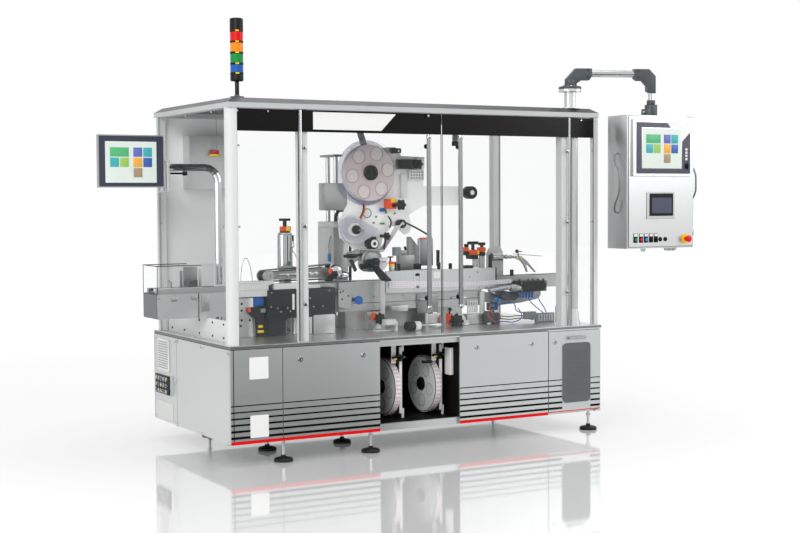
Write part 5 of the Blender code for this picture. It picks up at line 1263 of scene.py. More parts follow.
# %% Head plate
HEAD = 0.56
ON_HEAD = 0.559           # where fittings on the head plate begin
IN_HEAD = 0.5595          # where its rollers and stems begin
head_outline = [(1.082, 1.85), (1.18, 1.899), (1.38, 1.939), (1.448, 1.939), (1.492, 1.882),
    (1.662, 1.876), (1.662, 1.677), (1.951, 1.677), (1.951, 1.547), (1.662, 1.547), (1.549, 1.484),
    (1.571, 1.415), (1.552, 1.365), (1.516, 1.351), (1.48, 1.378), (1.452, 1.406), (1.415, 1.41),
    (1.344, 1.328), (1.326, 1.24), (1.29, 1.202), (1.2, 1.202), (1.022, 1.34), (1.012, 1.45),
    (1.082, 1.56)]
gather("head_plate_sheet", HEAD_PAINT, [plate(head_outline, "Y", HEAD, HEAD + 0.0118, 0.002)],
    stands_for=("head_plate",))
gather("head_plate_bolts", GREY_BLOCK,
    screws([(1.293, HEAD - 0.0002, 1.474), (1.275, HEAD - 0.0002, 1.435),
    (1.437, HEAD - 0.0002, 1.496)], 0.008, 0.004))
gather("head_guards", WHITE, [plate([(1.54, 1.717), (1.657, 1.717), (1.657, 1.79), (1.54, 1.79)],
    "Y", 0.538, 0.544, 0.002), (1.6, 0.538, 1.796, 1.66, ON_HEAD, 1.874, 0.003),
    (1.477, 0.538, 1.6, 1.52, ON_HEAD, 1.76, 0.003)])
gather("guard_bores", GREY_PLASTIC,
    [rod("Y", 1.556 + 0.021 * step, z, 0.5378, 0.537, 0.0062, 0, 16) for step in range(5)
    for z in (1.733, 1.753, 1.773)])
strap = plate([(1.125, 2.137), (1.175, 2.137), (1.262, 1.89), (1.21, 1.89)], "Y", 0.575, 0.5785,
    0.001)
gather("roof_straps", GREY_BLOCK, [strap,
    plate([(1.905, 1.985), (1.95, 1.985), (1.95, 2.137), (1.905, 2.137)], "Y", 0.575, 0.5785,
    0.001)])
gather("strap_end", BLACK_METAL, [(1.903, 0.57, 1.955, 1.952, 0.583, 1.987, 0.003)])

# %% [markdown]
# The reel turns on a hub behind a thin clear disc. Six circles are cut in that disc. The rewind
# holds the backing paper, which leaves it as a loose sheet.

# %% Reel and rewind
REEL = Vector((1.215, 0.5545, 1.766))
FORWARD = Vector(FRONT)


def on_reel(profile, sides=72):
    """Turned work about the reel's spindle; the second number counts forward from its back."""
    return turned(profile, REEL, REEL + FORWARD, sides)


gather("reel_rear_disc", DISC, [on_reel(flat(0.03, 0.217, 0.0, 0.0038))], "label_reel",
    stands_for=("label_reel",))
gather("reel_front_disc", TUNNEL, [on_reel(flat(0.03, 0.217, 0.062, 0.064))], "label_reel")
gather("reel_paper_side", WEB, [on_reel(flat(0.03, 0.185, 0.0042, 0.0596))], "label_reel")
edges = [on_reel(flat(0.1852, 0.1858, low, low + 0.004)) for low in (0.012, 0.028, 0.044)]
gather("reel_print_edges", REEL_MARKS, edges, "label_reel")
gather("reel_paper_face", ROLL, [on_reel(flat(0.03, 0.1845, 0.0598, 0.061))], "label_reel")
rings, circles = [], []
for number in range(6):
    turn = math.radians(9 + 60 * number)
    across, up = 0.134 * math.cos(turn), 0.134 * math.sin(turn)
    place = REEL + Vector((across, -0.0642, up))
    rings.append(turned(flat(0.0438, 0.0465, 0, 0.0006), place, place + FORWARD, 40))
    place = REEL + Vector((across, -0.0611, up))
    circles.append(turned(flat(0.001, 0.0445, 0, 0.0004), place, place + FORWARD, 40))
gather("reel_circle_rims", GREY_PLASTIC, rings, "label_reel")
gather("reel_circles", ROLL_PALE, circles, "label_reel")
hub = [on_reel([(0.026, 0.0042), (0.0498, 0.0642), (0.0498, 0.08), (0.044, 0.084), (0.026, 0.084)],
    48)]
hub += [on_reel(flat(0.0, 0.03, 0.064, 0.0815), 40)]
gather("reel_hub", BLACK, hub, "label_reel")

REWIND = Vector((1.105, 0.5545, 1.392))
gather("rewind_paper", REWOUND, [turned(flat(0.013, 0.09, 0.0, 0.029), REWIND, REWIND + FORWARD,
    64)], "rewind_reel", stands_for=("rewind_reel",))
gather("rewind_collar", WHITE, [turned(
    [(0.0125, 0.033), (0.043, 0.033), (0.043, 0.056), (0.0125, 0.058)], REWIND, REWIND + FORWARD,
    40)], "rewind_reel")
gather("rewind_knob", BLACK, [turned(
    [(0.0, 0.0582), (0.029, 0.0582), (0.03, 0.08), (0.026, 0.086), (0.01, 0.088), (0.0, 0.088)],
    REWIND, REWIND + FORWARD, 40)], "rewind_reel")
gather("rewind_pin", STEEL, [round_bar((1.112, 0.469, 1.391), (1.16, 0.464, 1.385), 0.0055, 0.001,
    20)], "rewind_reel")
loose = [(0.988, 1.417), (1.016, 1.462), (1.108, 1.47), (1.2, 1.44), (1.293, 1.388), (1.246, 1.346),
    (1.18, 1.313), (1.135, 1.287), (1.05, 1.34)]
hole = [(1.105 + 0.04 * math.cos(math.radians(a)), 1.392 + 0.04 * math.sin(math.radians(a)))
    for a in (167, 125, 85, 50, 0, -30, -60, -90, -140)]
gather("backing_sheet", BACKING, [hoop(loose, hole, "Y", 0.5215, 0.5222)])

# %% Rollers, knobs and clamps
A, B = (1.237, 1.298), (1.464, 1.426)
blacks = [rod("Y", A[0], A[1], IN_HEAD, 0.478, 0.0345, 0.004, 40),
    round_bar((1.24, 0.47, 1.335), (1.255, IN_HEAD, 1.335), 0.008, 0.001, 16)]
ball = rod("Y", B[0], B[1], IN_HEAD, 0.49, 0.0295, 0.012, 36)
big = rod("Y", 2.012, 1.634, IN_HEAD, 0.49, 0.044, 0.006, 40)
top = [rod("Y", 1.414, 1.915, IN_HEAD, 0.505, 0.019, 0.002, 24),
    bar((1.387, 0.516, 1.899), (1.468, 0.54, 1.932), 0.006)]
gather("head_rollers", BLACK, blacks + [ball, big] + top
    + [(1.444, 0.495, 1.794, 1.563, ON_HEAD, 1.858, 0.004)])
faces = [turned(flat(0.012, 0.027, 0, 0.0022), (A[0], 0.4778, A[1]), (A[0], 0, A[1]), 36),
    rod("Y", B[0], B[1], 0.4902, 0.4885, 0.008, 0, 20),
    rod("Y", 2.012, 1.634, 0.4902, 0.487, 0.017, 0.001, 24),
    rod("Y", 1.444, 1.914, 0.5162, 0.5145, 0.007, 0, 20)]
gather("roller_faces", WHITE, faces)
gather("roller_bolt", BLACK_METAL, [rod("Y", A[0], A[1], 0.4778, 0.474, 0.008, 0.001, 6)])
knobs = star_knob((1.582, 0.5, 1.825), 0.036) + star_knob((1.447, 0.5, 1.553),
    0.039) + star_knob((1.33, 0.49, 1.346), 0.028)
gather("head_star_knobs", BLACK, knobs
    + [rod("Y", 1.582, 1.825, ON_HEAD, 0.499, 0.012, 0, 16),
    rod("Y", 1.447, 1.553, ON_HEAD, 0.499, 0.012, 0, 16),
    rod("Y", 1.33, 1.346, ON_HEAD, 0.489, 0.01, 0, 16)])
gather("web_brake", ORANGE, [(1.352, 0.505, 1.526, 1.425, ON_HEAD, 1.594, 0.006)])
gather("web_brake_window", YELLOW, [(1.379, 0.5035, 1.57, 1.421, 0.516, 1.5955, 0.002)])
gather("web_brake_dial", BLACK, [rod("Y", 1.398, 1.549, 0.5048, 0.502, 0.015, 0.001, 28)])
print(len(pieces), "pieces so far")

# %% [markdown]
# Below the plate hangs the applicator: a drum with clamps round it, the peeling wedge in front, and
# the paper that runs down to it and on to the reels in the cabinet.

# %% Applicator
gather("applicator_drum", ALUMINIUM,
    [plate(rounded(1.15, 1.11, 1.3, 1.262, 0.06, 6), "Y", 0.49, ON_HEAD, 0.004),
    plate([(1.06, 1.24), (1.15, 1.262), (1.15, 1.2), (1.075, 1.15)], "Y", 0.52, ON_HEAD, 0.003)])
gather("drum_ring", GREY_BLOCK, [hoop(rounded(1.16, 1.12, 1.29, 1.252, 0.055, 6),
    rounded(1.172, 1.132, 1.278, 1.24, 0.045, 6), "Y", 0.488, 0.4898)])
gather("applicator_clamps", BLACK,
    [(1.037, 0.475, 1.206, 1.109, 0.52, 1.234, 0.01),
    rod("X", 0.497, 1.22, 1.04, 1.018, 0.01, 0.002, 20),
    (1.165, 0.418, 1.155, 1.245, 0.47, 1.196, 0.01),
    (1.12, 0.448, 1.132, 1.195, 0.488, 1.168, 0.01),
    rod("Y", 1.224, 1.181, 0.47, 0.42, 0.024, 0.003, 24),
    round_bar((1.109, 0.5, 1.222), (1.16, 0.5, 1.226), 0.0085, 0, 16),
    round_bar((1.32, 0.47, 1.34), (1.3, 0.47, 1.262), 0.007, 0, 16)])
gather("applicator_rods", CHROME, [
    round_bar((1.12, 0.468, 1.262), (1.3, 0.468, 1.252), 0.006, 0, 16),
    rod("X", 0.444, 1.176, 1.245, 1.3, 0.006, 0, 16)])
wedge = plate([(1.207, 1.142), (1.222, 1.152), (1.325, 1.054), (1.282, 1.048)], "Y", 0.396, 0.474,
    0.002)
carrier = bar((1.208, 0.4735, 1.142), (1.236, IN_HEAD, 1.162), 0.002)
gather("peeling_wedge", BLACK_METAL,
    [wedge, carrier, plate([(1.04, 1.192), (1.06, 1.2), (1.092, 1.13), (1.08, 1.118)], "Y", 0.45,
    0.475, 0.002)], stands_for=("peel_bar",))
gather("paper_web", WEB, [strip([(1.455, 1.44), (1.3, 1.243)], "Y", 0.47, 0.545, 0.0012),
    strip([(1.262, 1.205), (1.33, 1.203)], "Y", 0.46, 0.469, 0.0012),
    plate([(1.262, 1.2), (1.332, 1.205), (1.334, 1.16), (1.3, 1.12), (1.27, 1.13)], "Y", 0.469,
    0.47, 0), strip([(1.28, 1.1), (1.28, 0.7275)], "Y", 0.42, 0.48, 0.0012)])
cables = [pipe([(1.48, 0.52, 1.44), (1.56, 0.515, 1.405), (1.64, 0.515, 1.365),
    (1.702, 0.52, 1.33)], 0.006, 10),
    pipe([(1.19, 0.545, 1.56), (1.18, 0.53, 1.515), (1.158, 0.53, 1.47), (1.15, 0.54, 1.445)],
    0.0048), pipe([(1.375, 0.54, 1.48), (1.392, 0.53, 1.44), (1.385, 0.535, 1.4)], 0.005)]
ring = [(1.218 + 0.03 * math.cos(a), 0.545, 1.5 + 0.03 * math.sin(a))
    for a in (2.4, 1.2, 0.0, -1.2, -2.4, -3.4)]
gather("head_cables", BLACK, cables + [pipe(ring, 0.0024)])
gather("head_hose", HOSE, [pipe([(1.198, 0.54, 1.553), (1.186, 0.524, 1.512), (1.164, 0.524, 1.472),
    (1.156, 0.535, 1.445)], 0.005)])
gather("sensor_plug", BLUE, [(1.317, 0.53, 1.508, 1.346, ON_HEAD, 1.532, 0.004)])
gather("green_ties", GREEN, [plate([(1.352, 1.53), (1.362, 1.532), (1.374, 1.498), (1.366, 1.496)],
    "Y", 0.548, ON_HEAD, 0.001), (1.322, 0.548, 1.424, 1.354, ON_HEAD, 1.434, 0.002)])
sensor = [bar((1.403, 0.5, 1.212), (1.452, 0.54, 1.27), 0.004)]
gather("web_sensor", GREY_PLASTIC, sensor)
print(len(pieces), "pieces so far")

# %% [markdown]
# ## Label plate and its tools
# The labels run behind a strip along a long plate in front of the belt. Clamps and counters stand
# on its upper edge, and a drum on an arch holds the fork that presses the bottle at the outfeed.

# %% Label plate
PLATE_FRONT = 0.484
gather("plate_slot", WHITE_METAL, [
    hoop(rounded(1.54, 0.982, 1.594, 1.1, 0.003), rounded(1.549, 0.992, 1.585, 1.09, 0.002), "Y",
    PLATE_FRONT - 0.0035, PLATE_FRONT - 0.0002)])
gather("slot_slide", BLACK_METAL, [
    (1.549, PLATE_FRONT - 0.0015, 1.072, 1.585, PLATE_FRONT - 0.0002, 1.09),
    (1.549, PLATE_FRONT - 0.0015, 0.992, 1.585, PLATE_FRONT - 0.0002, 1.01)]
    + screws([(1.567, PLATE_FRONT - 0.0016, z) for z in (1.084, 1.0)], 0.01, 0.006))
strip_edges = [(1.345, 0.998), (2.005, 0.989), (2.327, 0.999), (2.327, 1.029), (2.005, 1.02),
    (1.345, 1.047)]
gather("label_strip", WEB, [plate(strip_edges, "Y", PLATE_FRONT - 0.0052, PLATE_FRONT - 0.0042)])
marks = []
for row in range(3):
    for step in range(40):
        x = 1.362 + 0.024 * step
        share = (x - 1.345) / 0.982
        middle = 1.0225 - 0.02 * min(share / 0.672, 1.0) + 0.0095 * max(share - 0.672, 0.0) / 0.328
        z = middle + (row - 1) * (0.0145 - 0.0055 * min(share / 0.672, 1.0))
        marks.append(bar((x, PLATE_FRONT - 0.0056, z - 0.0016),
            (x + 0.011, PLATE_FRONT - 0.0053, z + 0.0016)))
gather("label_marks", REEL_MARKS, marks)
gather("blank_label", WHITE_FILM, [
    (1.696, PLATE_FRONT - 0.001, 1.053, 1.746, PLATE_FRONT - 0.0002, 1.098)])
gather("plate_end", BLACK_METAL, [(2.1965, PLATE_FRONT, 1.01, 2.208, 0.502, 1.112, 0.001)])
gather("plate_bolts", GREY_BLOCK, screws(
    [(x, PLATE_FRONT - 0.0002, z) for x, z in ((1.92, 1.052), (1.985, 1.055), (2.05, 1.084),
    (2.06, 0.976), (1.93, 0.976), (2.125, 0.976))], 0.005, 0.003))
gather("plate_knobs", BLACK, [rod("Z", x, 0.493, 1.1122, z, 0.012, 0.002, 24)
    for x, z in ((1.397, 1.172), (1.428, 1.16), (1.742, 1.16), (1.834, 1.152))])
gather("plate_indicator", ORANGE, [(1.35, 0.47, 1.158, 1.386, 0.495, 1.176, 0.003)])
gather("indicator_window", YELLOW, [(1.352, 0.468, 1.142, 1.384, 0.494, 1.158, 0.002)])
gather("indicator_handle", BLACK_METAL,
    [(1.338, 0.478, 1.202, 1.38, 0.488, 1.211, 0.002),
    rod("Z", 1.358, 0.483, 1.176, 1.204, 0.006, 0, 16)])
gather("indicator_post", ALUMINIUM, [(1.352, 0.47, 1.1122, 1.384, 0.494, 1.142, 0.002)])

# %% Clamps behind the plate
gather("clamp_blocks", GREY_BLOCK,
    [(1.481, 0.6, 1.212, 1.552, 0.64, 1.246, 0.004), (1.49, 0.6, 1.112, 1.615, 0.64, 1.212, 0.004),
    plate([(1.586, 1.135), (1.672, 1.135), (1.672, 1.262), (1.61, 1.334), (1.586, 1.334)], "Y",
    0.64, 0.665, 0.003), (1.677, 0.65, 1.132, 1.791, 0.67, 1.32, 0.002)])
gather("clamp_base", GREY_BLOCK, [(1.49, 0.6, 0.935, 1.791, 0.664, 1.1115, 0.002)])
gather("clamp_lever", ORANGE, [(1.655, 0.595, 1.317, 1.712, 0.608, 1.328, 0.003)])
gather("clamp_rods", CHROME, [rod("Z", 1.656, 0.61, 1.112, 1.318, 0.006, 0, 16)])
gather("clamp_knob", BLACK, [rod("Z", 1.8, 0.6, 1.13, 1.24, 0.012, 0.003, 24),
    round_bar((1.548, 0.605, 1.246), (1.536, 0.6, 1.268), 0.009, 0.002, 16),
    (1.6, 0.6, 1.112, 1.668, 0.64, 1.15, 0.004)])

# %% [markdown]
# Two position counters with cross handles stand on posts, and the arch next to them holds a drum.

# %% Counters, arch and fork


def counter(x, z, across, high, handle):
    """Grips, orange case and window of a position counter; `high` is the height of its case."""
    low = z - high / 2
    return {BLACK: [bar((x - across * 0.5, 0.59, handle - 0.012),
        (x + across * 0.5, 0.612, handle + 0.01), 0.005),
        rod("Z", x, 0.601, low + high, handle - 0.01, 0.012, 0.001, 20),
        bar((x - across * 0.44, 0.58, low - 0.028), (x + across * 0.4, 0.64, low - 0.001), 0.006)],
        ORANGE: [bar((x - across * 0.47, 0.585, low), (x + across * 0.44, 0.63, low + high),
        0.004)], YELLOW: [bar((x + across * 0.3, 0.582, low + 0.004),
        (x + across * 0.5, 0.6, low + high - 0.006), 0.002)]}


for number, sizes in enumerate(((2.086, 1.217, 0.086, 0.036, 1.284),
        (2.16, 1.236, 0.052, 0.032, 1.276), (2.032, 1.24, 0.03, 0.03, 1.268)), 1):
    for label, (look, shapes) in zip(("grips", "case", "window"), counter(*sizes).items()):
        gather(f"counter_{number}_{label}", look, shapes)
posts = [bar((2.089, 0.595, 1.11), (2.106, 0.615, 1.176), 0.002),
    bar((2.118, 0.595, 1.11), (2.135, 0.615, 1.176), 0.002),
    bar((2.144, 0.595, 1.1), (2.158, 0.615, 1.192), 0.002),
    bar((2.166, 0.595, 1.1), (2.182, 0.615, 1.192), 0.002)]
posts.append(bar((2.06, 0.58, 1.047), (2.2, 0.65, 1.1), 0.003))
gather("counter_posts", WHITE_METAL, posts)
gather("counter_block", BLACK_METAL, [(2.02, 0.58, 1.047, 2.075, 0.64, 1.128, 0.004)])
gather("arch_cylinder", BLACK, [rod("Z", 2.191, 0.54, 1.1055, 1.197, 0.013, 0.003, 24)])
arch = [(2.215, 1.042), (2.215, 1.19)] + [(2.285 + 0.07 * math.cos(a), 1.192 + 0.071 * math.sin(a))
    for a in (2.9, 2.4, 1.9, 1.4, 0.9, 0.4, 0.1)] + [(2.355, 1.19), (2.355, 1.042)]
gather("arch_plate", WHITE_METAL, [plate(arch, "Y", 0.62, 0.632, 0.002)])
drum = [(0.0, 0.0), (0.027, 0.0), (0.027, 0.085), (0.018, 0.093), (0.014, 0.101), (0.0, 0.101)]
gather("arch_drum", STEEL, [turned(drum, (2.208, 0.552, 1.183), (3.208, 0.552, 1.183), 36),
    round_bar((2.305, 0.552, 1.183), (2.395, 0.53, 1.18), 0.0085, 0.001, 20),
    round_bar((2.318, 0.549, 1.183), (2.338, 0.544, 1.182), 0.015, 0.002, 20),
    round_bar((2.352, 0.541, 1.181), (2.368, 0.537, 1.181), 0.013, 0.002, 20)])
fork = [(2.395, 1.19), (2.425, 1.186), (2.478, 1.15), (2.553, 1.072), (2.545, 1.068), (2.5, 1.108),
    (2.474, 1.128), (2.47, 1.118), (2.483, 1.076), (2.473, 1.072), (2.446, 1.126), (2.418, 1.155),
    (2.39, 1.164)]
gather("fork", ALUMINIUM, [plate(fork, "Y", 0.5, 0.514, 0.002),
    round_bar((2.4, 0.514, 1.178), (2.385, 0.535, 1.18), 0.01, 0, 16)])
gather("fork_knob", BLACK, [round_bar((2.402, 0.5, 1.186), (2.394, 0.5, 1.224), 0.004, 0, 12),
    round_bar((2.38, 0.5, 1.222), (2.397, 0.5, 1.22), 0.012, 0.003, 20),
    round_bar((2.395, 0.5, 1.22), (2.431, 0.5, 1.217), 0.0035, 0, 12)])
gather("fork_cap", YELLOW, [rod("Y", 2.421, 1.179, 0.4995, 0.496, 0.009, 0.001, 24)])
gather("wire_guard", STEEL, [round_bar((2.435, 0.62, 1.198), (2.69, 0.62, 1.176), 0.0026, 0, 10)])

# %% [markdown]
# At the outfeed the belt turns down round its end roller. The valve box under the rail feeds the
# air cylinders through thin blue hoses, which are plain bent tubes here.

# %% Outfeed
gather("outfeed_rail_bolts", BLACK_METAL,
    screws([(x, 0.5305, 1.013) for x in (2.43, 2.506, 2.545, 2.59, 2.636)], 0.0075, 0.004))
gather("outfeed_post", BLACK, [rod("Z", 2.385, 0.56, 1.043, 1.09, 0.0135, 0.002, 24)])
gather("outfeed_tongue", STEEL, [round_bar((2.119, 0.452, 0.958), (2.3, 0.452, 0.972), 0.017, 0.006,
    28), turned([(0.0, 0.0), (0.022, 0.0), (0.026, 0.03), (0.02, 0.085), (0.0, 0.095)],
    (2.296, 0.452, 0.968), (3.296, 0.452, 0.935), 28)])
gather("outfeed_chute", CASTING, [plate(
    [(2.215, 0.955), (2.29, 0.945), (2.4, 0.93), (2.42, 0.905), (2.38, 0.875), (2.3, 0.88),
    (2.225, 0.915)], "Y", 0.505, 0.529, 0.004)])
trough = [(2.2, 0.935), (2.32, 0.905), (2.47, 0.935), (2.6, 0.938), (2.64, 0.925), (2.636, 0.895),
    (2.6, 0.872), (2.46, 0.852), (2.29, 0.842), (2.2, 0.865)]
gather("return_trough", GREY_BLOCK, [plate(trough, "Y", 0.56, 0.66, 0.006)])
gather("valve_plugs", BLUE, [round_bar((x, 0.47, 0.9385), (x - 0.01, 0.462, 0.893), 0.0085, 0.002,
    16) for x in (2.4, 2.425, 2.45, 2.475, 2.5)])
gather("valve_screws", GREY_PLASTIC,
    screws([(x, 0.4396, z) for x in (2.388, 2.588) for z in (0.95, 0.999)], 0.006, 0.003))
print(len(pieces), "pieces so far")

# %% [markdown]
# ## Under the conveyor
# Fixtures, hand wheels and the valve bundle fill the space down to the deck.

# %% Under the conveyor
gather("drive_box", GREY_BLOCK, [(1.205, 0.6, ON_DECK, 1.76, 0.64, 0.93, 0.003),
    (1.575, 0.5, 0.82, 1.74, 0.53, 0.95, 0.003)])
gather("drive_plates", ALUMINIUM, [(1.339, 0.43, 0.846, 1.462, 0.49, 0.883, 0.002),
    (1.65, 0.5, ON_DECK, 1.76, 0.515, 0.812, 0.002),
    (1.2, 0.52, ON_DECK, 1.33, 0.55, 0.844, 0.002)])
gather("fixture_whites", WHITE_METAL,
    [(1.224, 0.3, 0.77, 1.3, 0.36, 0.806, 0.003), (1.64, 0.49, ON_DECK, 1.652, 0.51, 0.818, 0.001),
    (1.19, 0.36, ON_DECK, 1.345, 0.43, 0.733, 0.002),
    (1.308, 0.32, ON_DECK, 1.322, 0.35, 0.79, 0.001)])
gather("fixture_shafts", STEEL, [round_bar((1.522, 0.4, 0.923), (1.628, 0.4, 0.921), 0.011, 0.002,
    20), round_bar((1.778, 0.4, 0.922), (1.905, 0.4, 0.92), 0.0095, 0.002, 20),
    rod("X", 0.3, 0.757, 1.478, 1.64, 0.008, 0.001, 16),
    rod("X", 0.36, 0.745, 1.59, 1.68, 0.014, 0.002, 20)])
gather("roller_knob", BLACK, [rod("X", 0.3, 0.756, 1.366, 1.436, 0.03, 0.01, 24)])
gather("roller_sleeve", WHITE, [rod("X", 0.3, 0.756, 1.436, 1.478, 0.03, 0.006, 28)])


def hand_wheel(name, centre, radius):
    """A lobed wheel that faces the front, on an orange counter."""
    x, y, z = centre
    gather(name + "_wheel", BLACK, star_knob((x, y, z), radius, FRONT, 0.026, 8))
    gather(name + "_counter", ORANGE,
        [(x - radius * 1.0, y + 0.003, z - radius * 0.35, x - radius * 0.35, y + 0.04,
        z + radius * 0.95, 0.004)])


hand_wheel("front_hand", (1.235, 0.42, 0.805), 0.04)
hand_wheel("rear_hand", (1.842, 0.44, 0.757), 0.056)
gather("wheel_disc", WHITE, [rod("Y", 1.882, 0.757, 0.47, 0.445, 0.048, 0.003, 40)])
gather("wheel_lever", BLACK, [round_bar((1.786, 0.43, 0.812), (1.784, 0.42, 0.842), 0.006, 0, 14),
    round_bar((1.777, 0.42, 0.84), (1.792, 0.42, 0.844), 0.013, 0.003, 18)])
grate = [bar((x, 0.5, 0.803), (x + 0.009, 0.51, 0.892), 0.001)
    for x in (1.978, 1.997, 2.016, 2.035, 2.052)]
grate += [bar((1.978, 0.5005, z), (2.061, 0.5095, z + 0.007), 0.001) for z in (0.812, 0.845, 0.878)]
gather("grating", WHITE, grate)
gather("light_post", WHITE_METAL, [rod("Z", 2.096, 0.5, ON_DECK, 0.95, 0.019, 0.002, 28)])
gather("tool_base", ALUMINIUM, [(1.96, 0.48, ON_DECK, 2.13, 0.56, 0.795, 0.004),
    (1.9, 0.44, ON_DECK, 1.96, 0.52, 0.76, 0.003)])
gather("valve_bundle", CASTING, [(2.09, 0.42, 0.735, 2.15, 0.47, 0.815, 0.004),
    (2.11, 0.43, 0.82, 2.185, 0.47, 0.87, 0.004), (2.15, 0.44, ON_DECK, 2.205, 0.48, 0.8, 0.004)])
gather("valve_fittings", SKY, [(2.172, 0.43, 0.872, 2.2, 0.46, 0.905, 0.003),
    (2.13, 0.415, 0.842, 2.15, 0.429, 0.858, 0.002)])
wild = [[(2.11, 0.415, 0.8), (2.16, 0.4, 0.85), (2.23, 0.41, 0.87), (2.31, 0.42, 0.86),
    (2.33, 0.42, 0.81), (2.42, 0.4, 0.795)],
    [(2.14, 0.41, 0.745), (2.21, 0.38, 0.742), (2.29, 0.39, 0.736), (2.36, 0.4, 0.77),
    (2.335, 0.41, 0.83)], [(2.538, 0.462, 0.912), (2.55, 0.455, 0.87), (2.566, 0.43, 0.83),
    (2.572, 0.4, 0.785)], [(2.455, 0.462, 0.895), (2.475, 0.45, 0.86), (2.52, 0.44, 0.82),
    (2.56, 0.41, 0.78)]]
gather("air_hoses", BLUE, [pipe(points, 0.0034) for points in wild])
wires = [[(2.1, 0.415, 0.815), (2.08, 0.4, 0.79), (2.11, 0.395, 0.76), (2.15, 0.4, 0.735)],
    [(2.12, 0.418, 0.86), (2.095, 0.405, 0.83), (2.125, 0.4, 0.8)],
    [(2.16, 0.428, 0.74), (2.18, 0.4, 0.76), (2.17, 0.395, 0.8)]]
gather("orange_wires", HOSE, [pipe(points, 0.0032) for points in wires])
looped = [[(2.18, 0.43, 0.905), (2.2, 0.42, 0.93), (2.17, 0.415, 0.89), (2.14, 0.41, 0.84)],
    [(2.2, 0.44, 0.78), (2.26, 0.42, 0.77), (2.33, 0.42, 0.775), (2.45, 0.38, 0.76)],
    [(2.2, 0.44, 0.76), (2.27, 0.42, 0.752), (2.35, 0.42, 0.756), (2.45, 0.38, 0.745)]]
gather("black_wires", BLACK, [pipe(points, 0.003) for points in looped])
gather("terminal_trays", GREY_PLASTIC,
    [(2.361, 0.35, 0.752, 2.45, 0.39, 0.803, 0.003),
    (2.452, 0.35, ON_DECK, 2.606, 0.38, 0.79, 0.003)])
gather("tray_ribs", ALUMINIUM, [(2.466 + 0.022 * step, 0.347, 0.735, 2.476 + 0.022 * step, 0.3499,
    0.782, 0.001) for step in range(6)])
gather("mast_clamp", WHITE_METAL, [
    plate([(2.441, ON_DECK), (2.505, ON_DECK), (2.505, 0.868), (2.441, 0.862)], "Y", 0.088, 0.11,
    0.003)])
gather("clamp_bar", BLACK_METAL, [(2.452, 0.078, ON_DECK, 2.5, 0.088, 0.734, 0.002),
    (2.436, 0.09, 0.75, 2.4412, 0.108, 0.855, 0.001)])
print(len(pieces), "pieces so far")

# %% [markdown]
# ## Reel bay
# Two reels hang in the open bay, each in front of an upright plate with a white edge. Their paper
# goes up past a sensor and through the deck. Near-black sheets line the bay's back, sides, top and
# floor: painted shade for the deep recess.

# %% Reel bay
UNWIND_HUB = (0.29, 0.372)       # y and z of both spindles
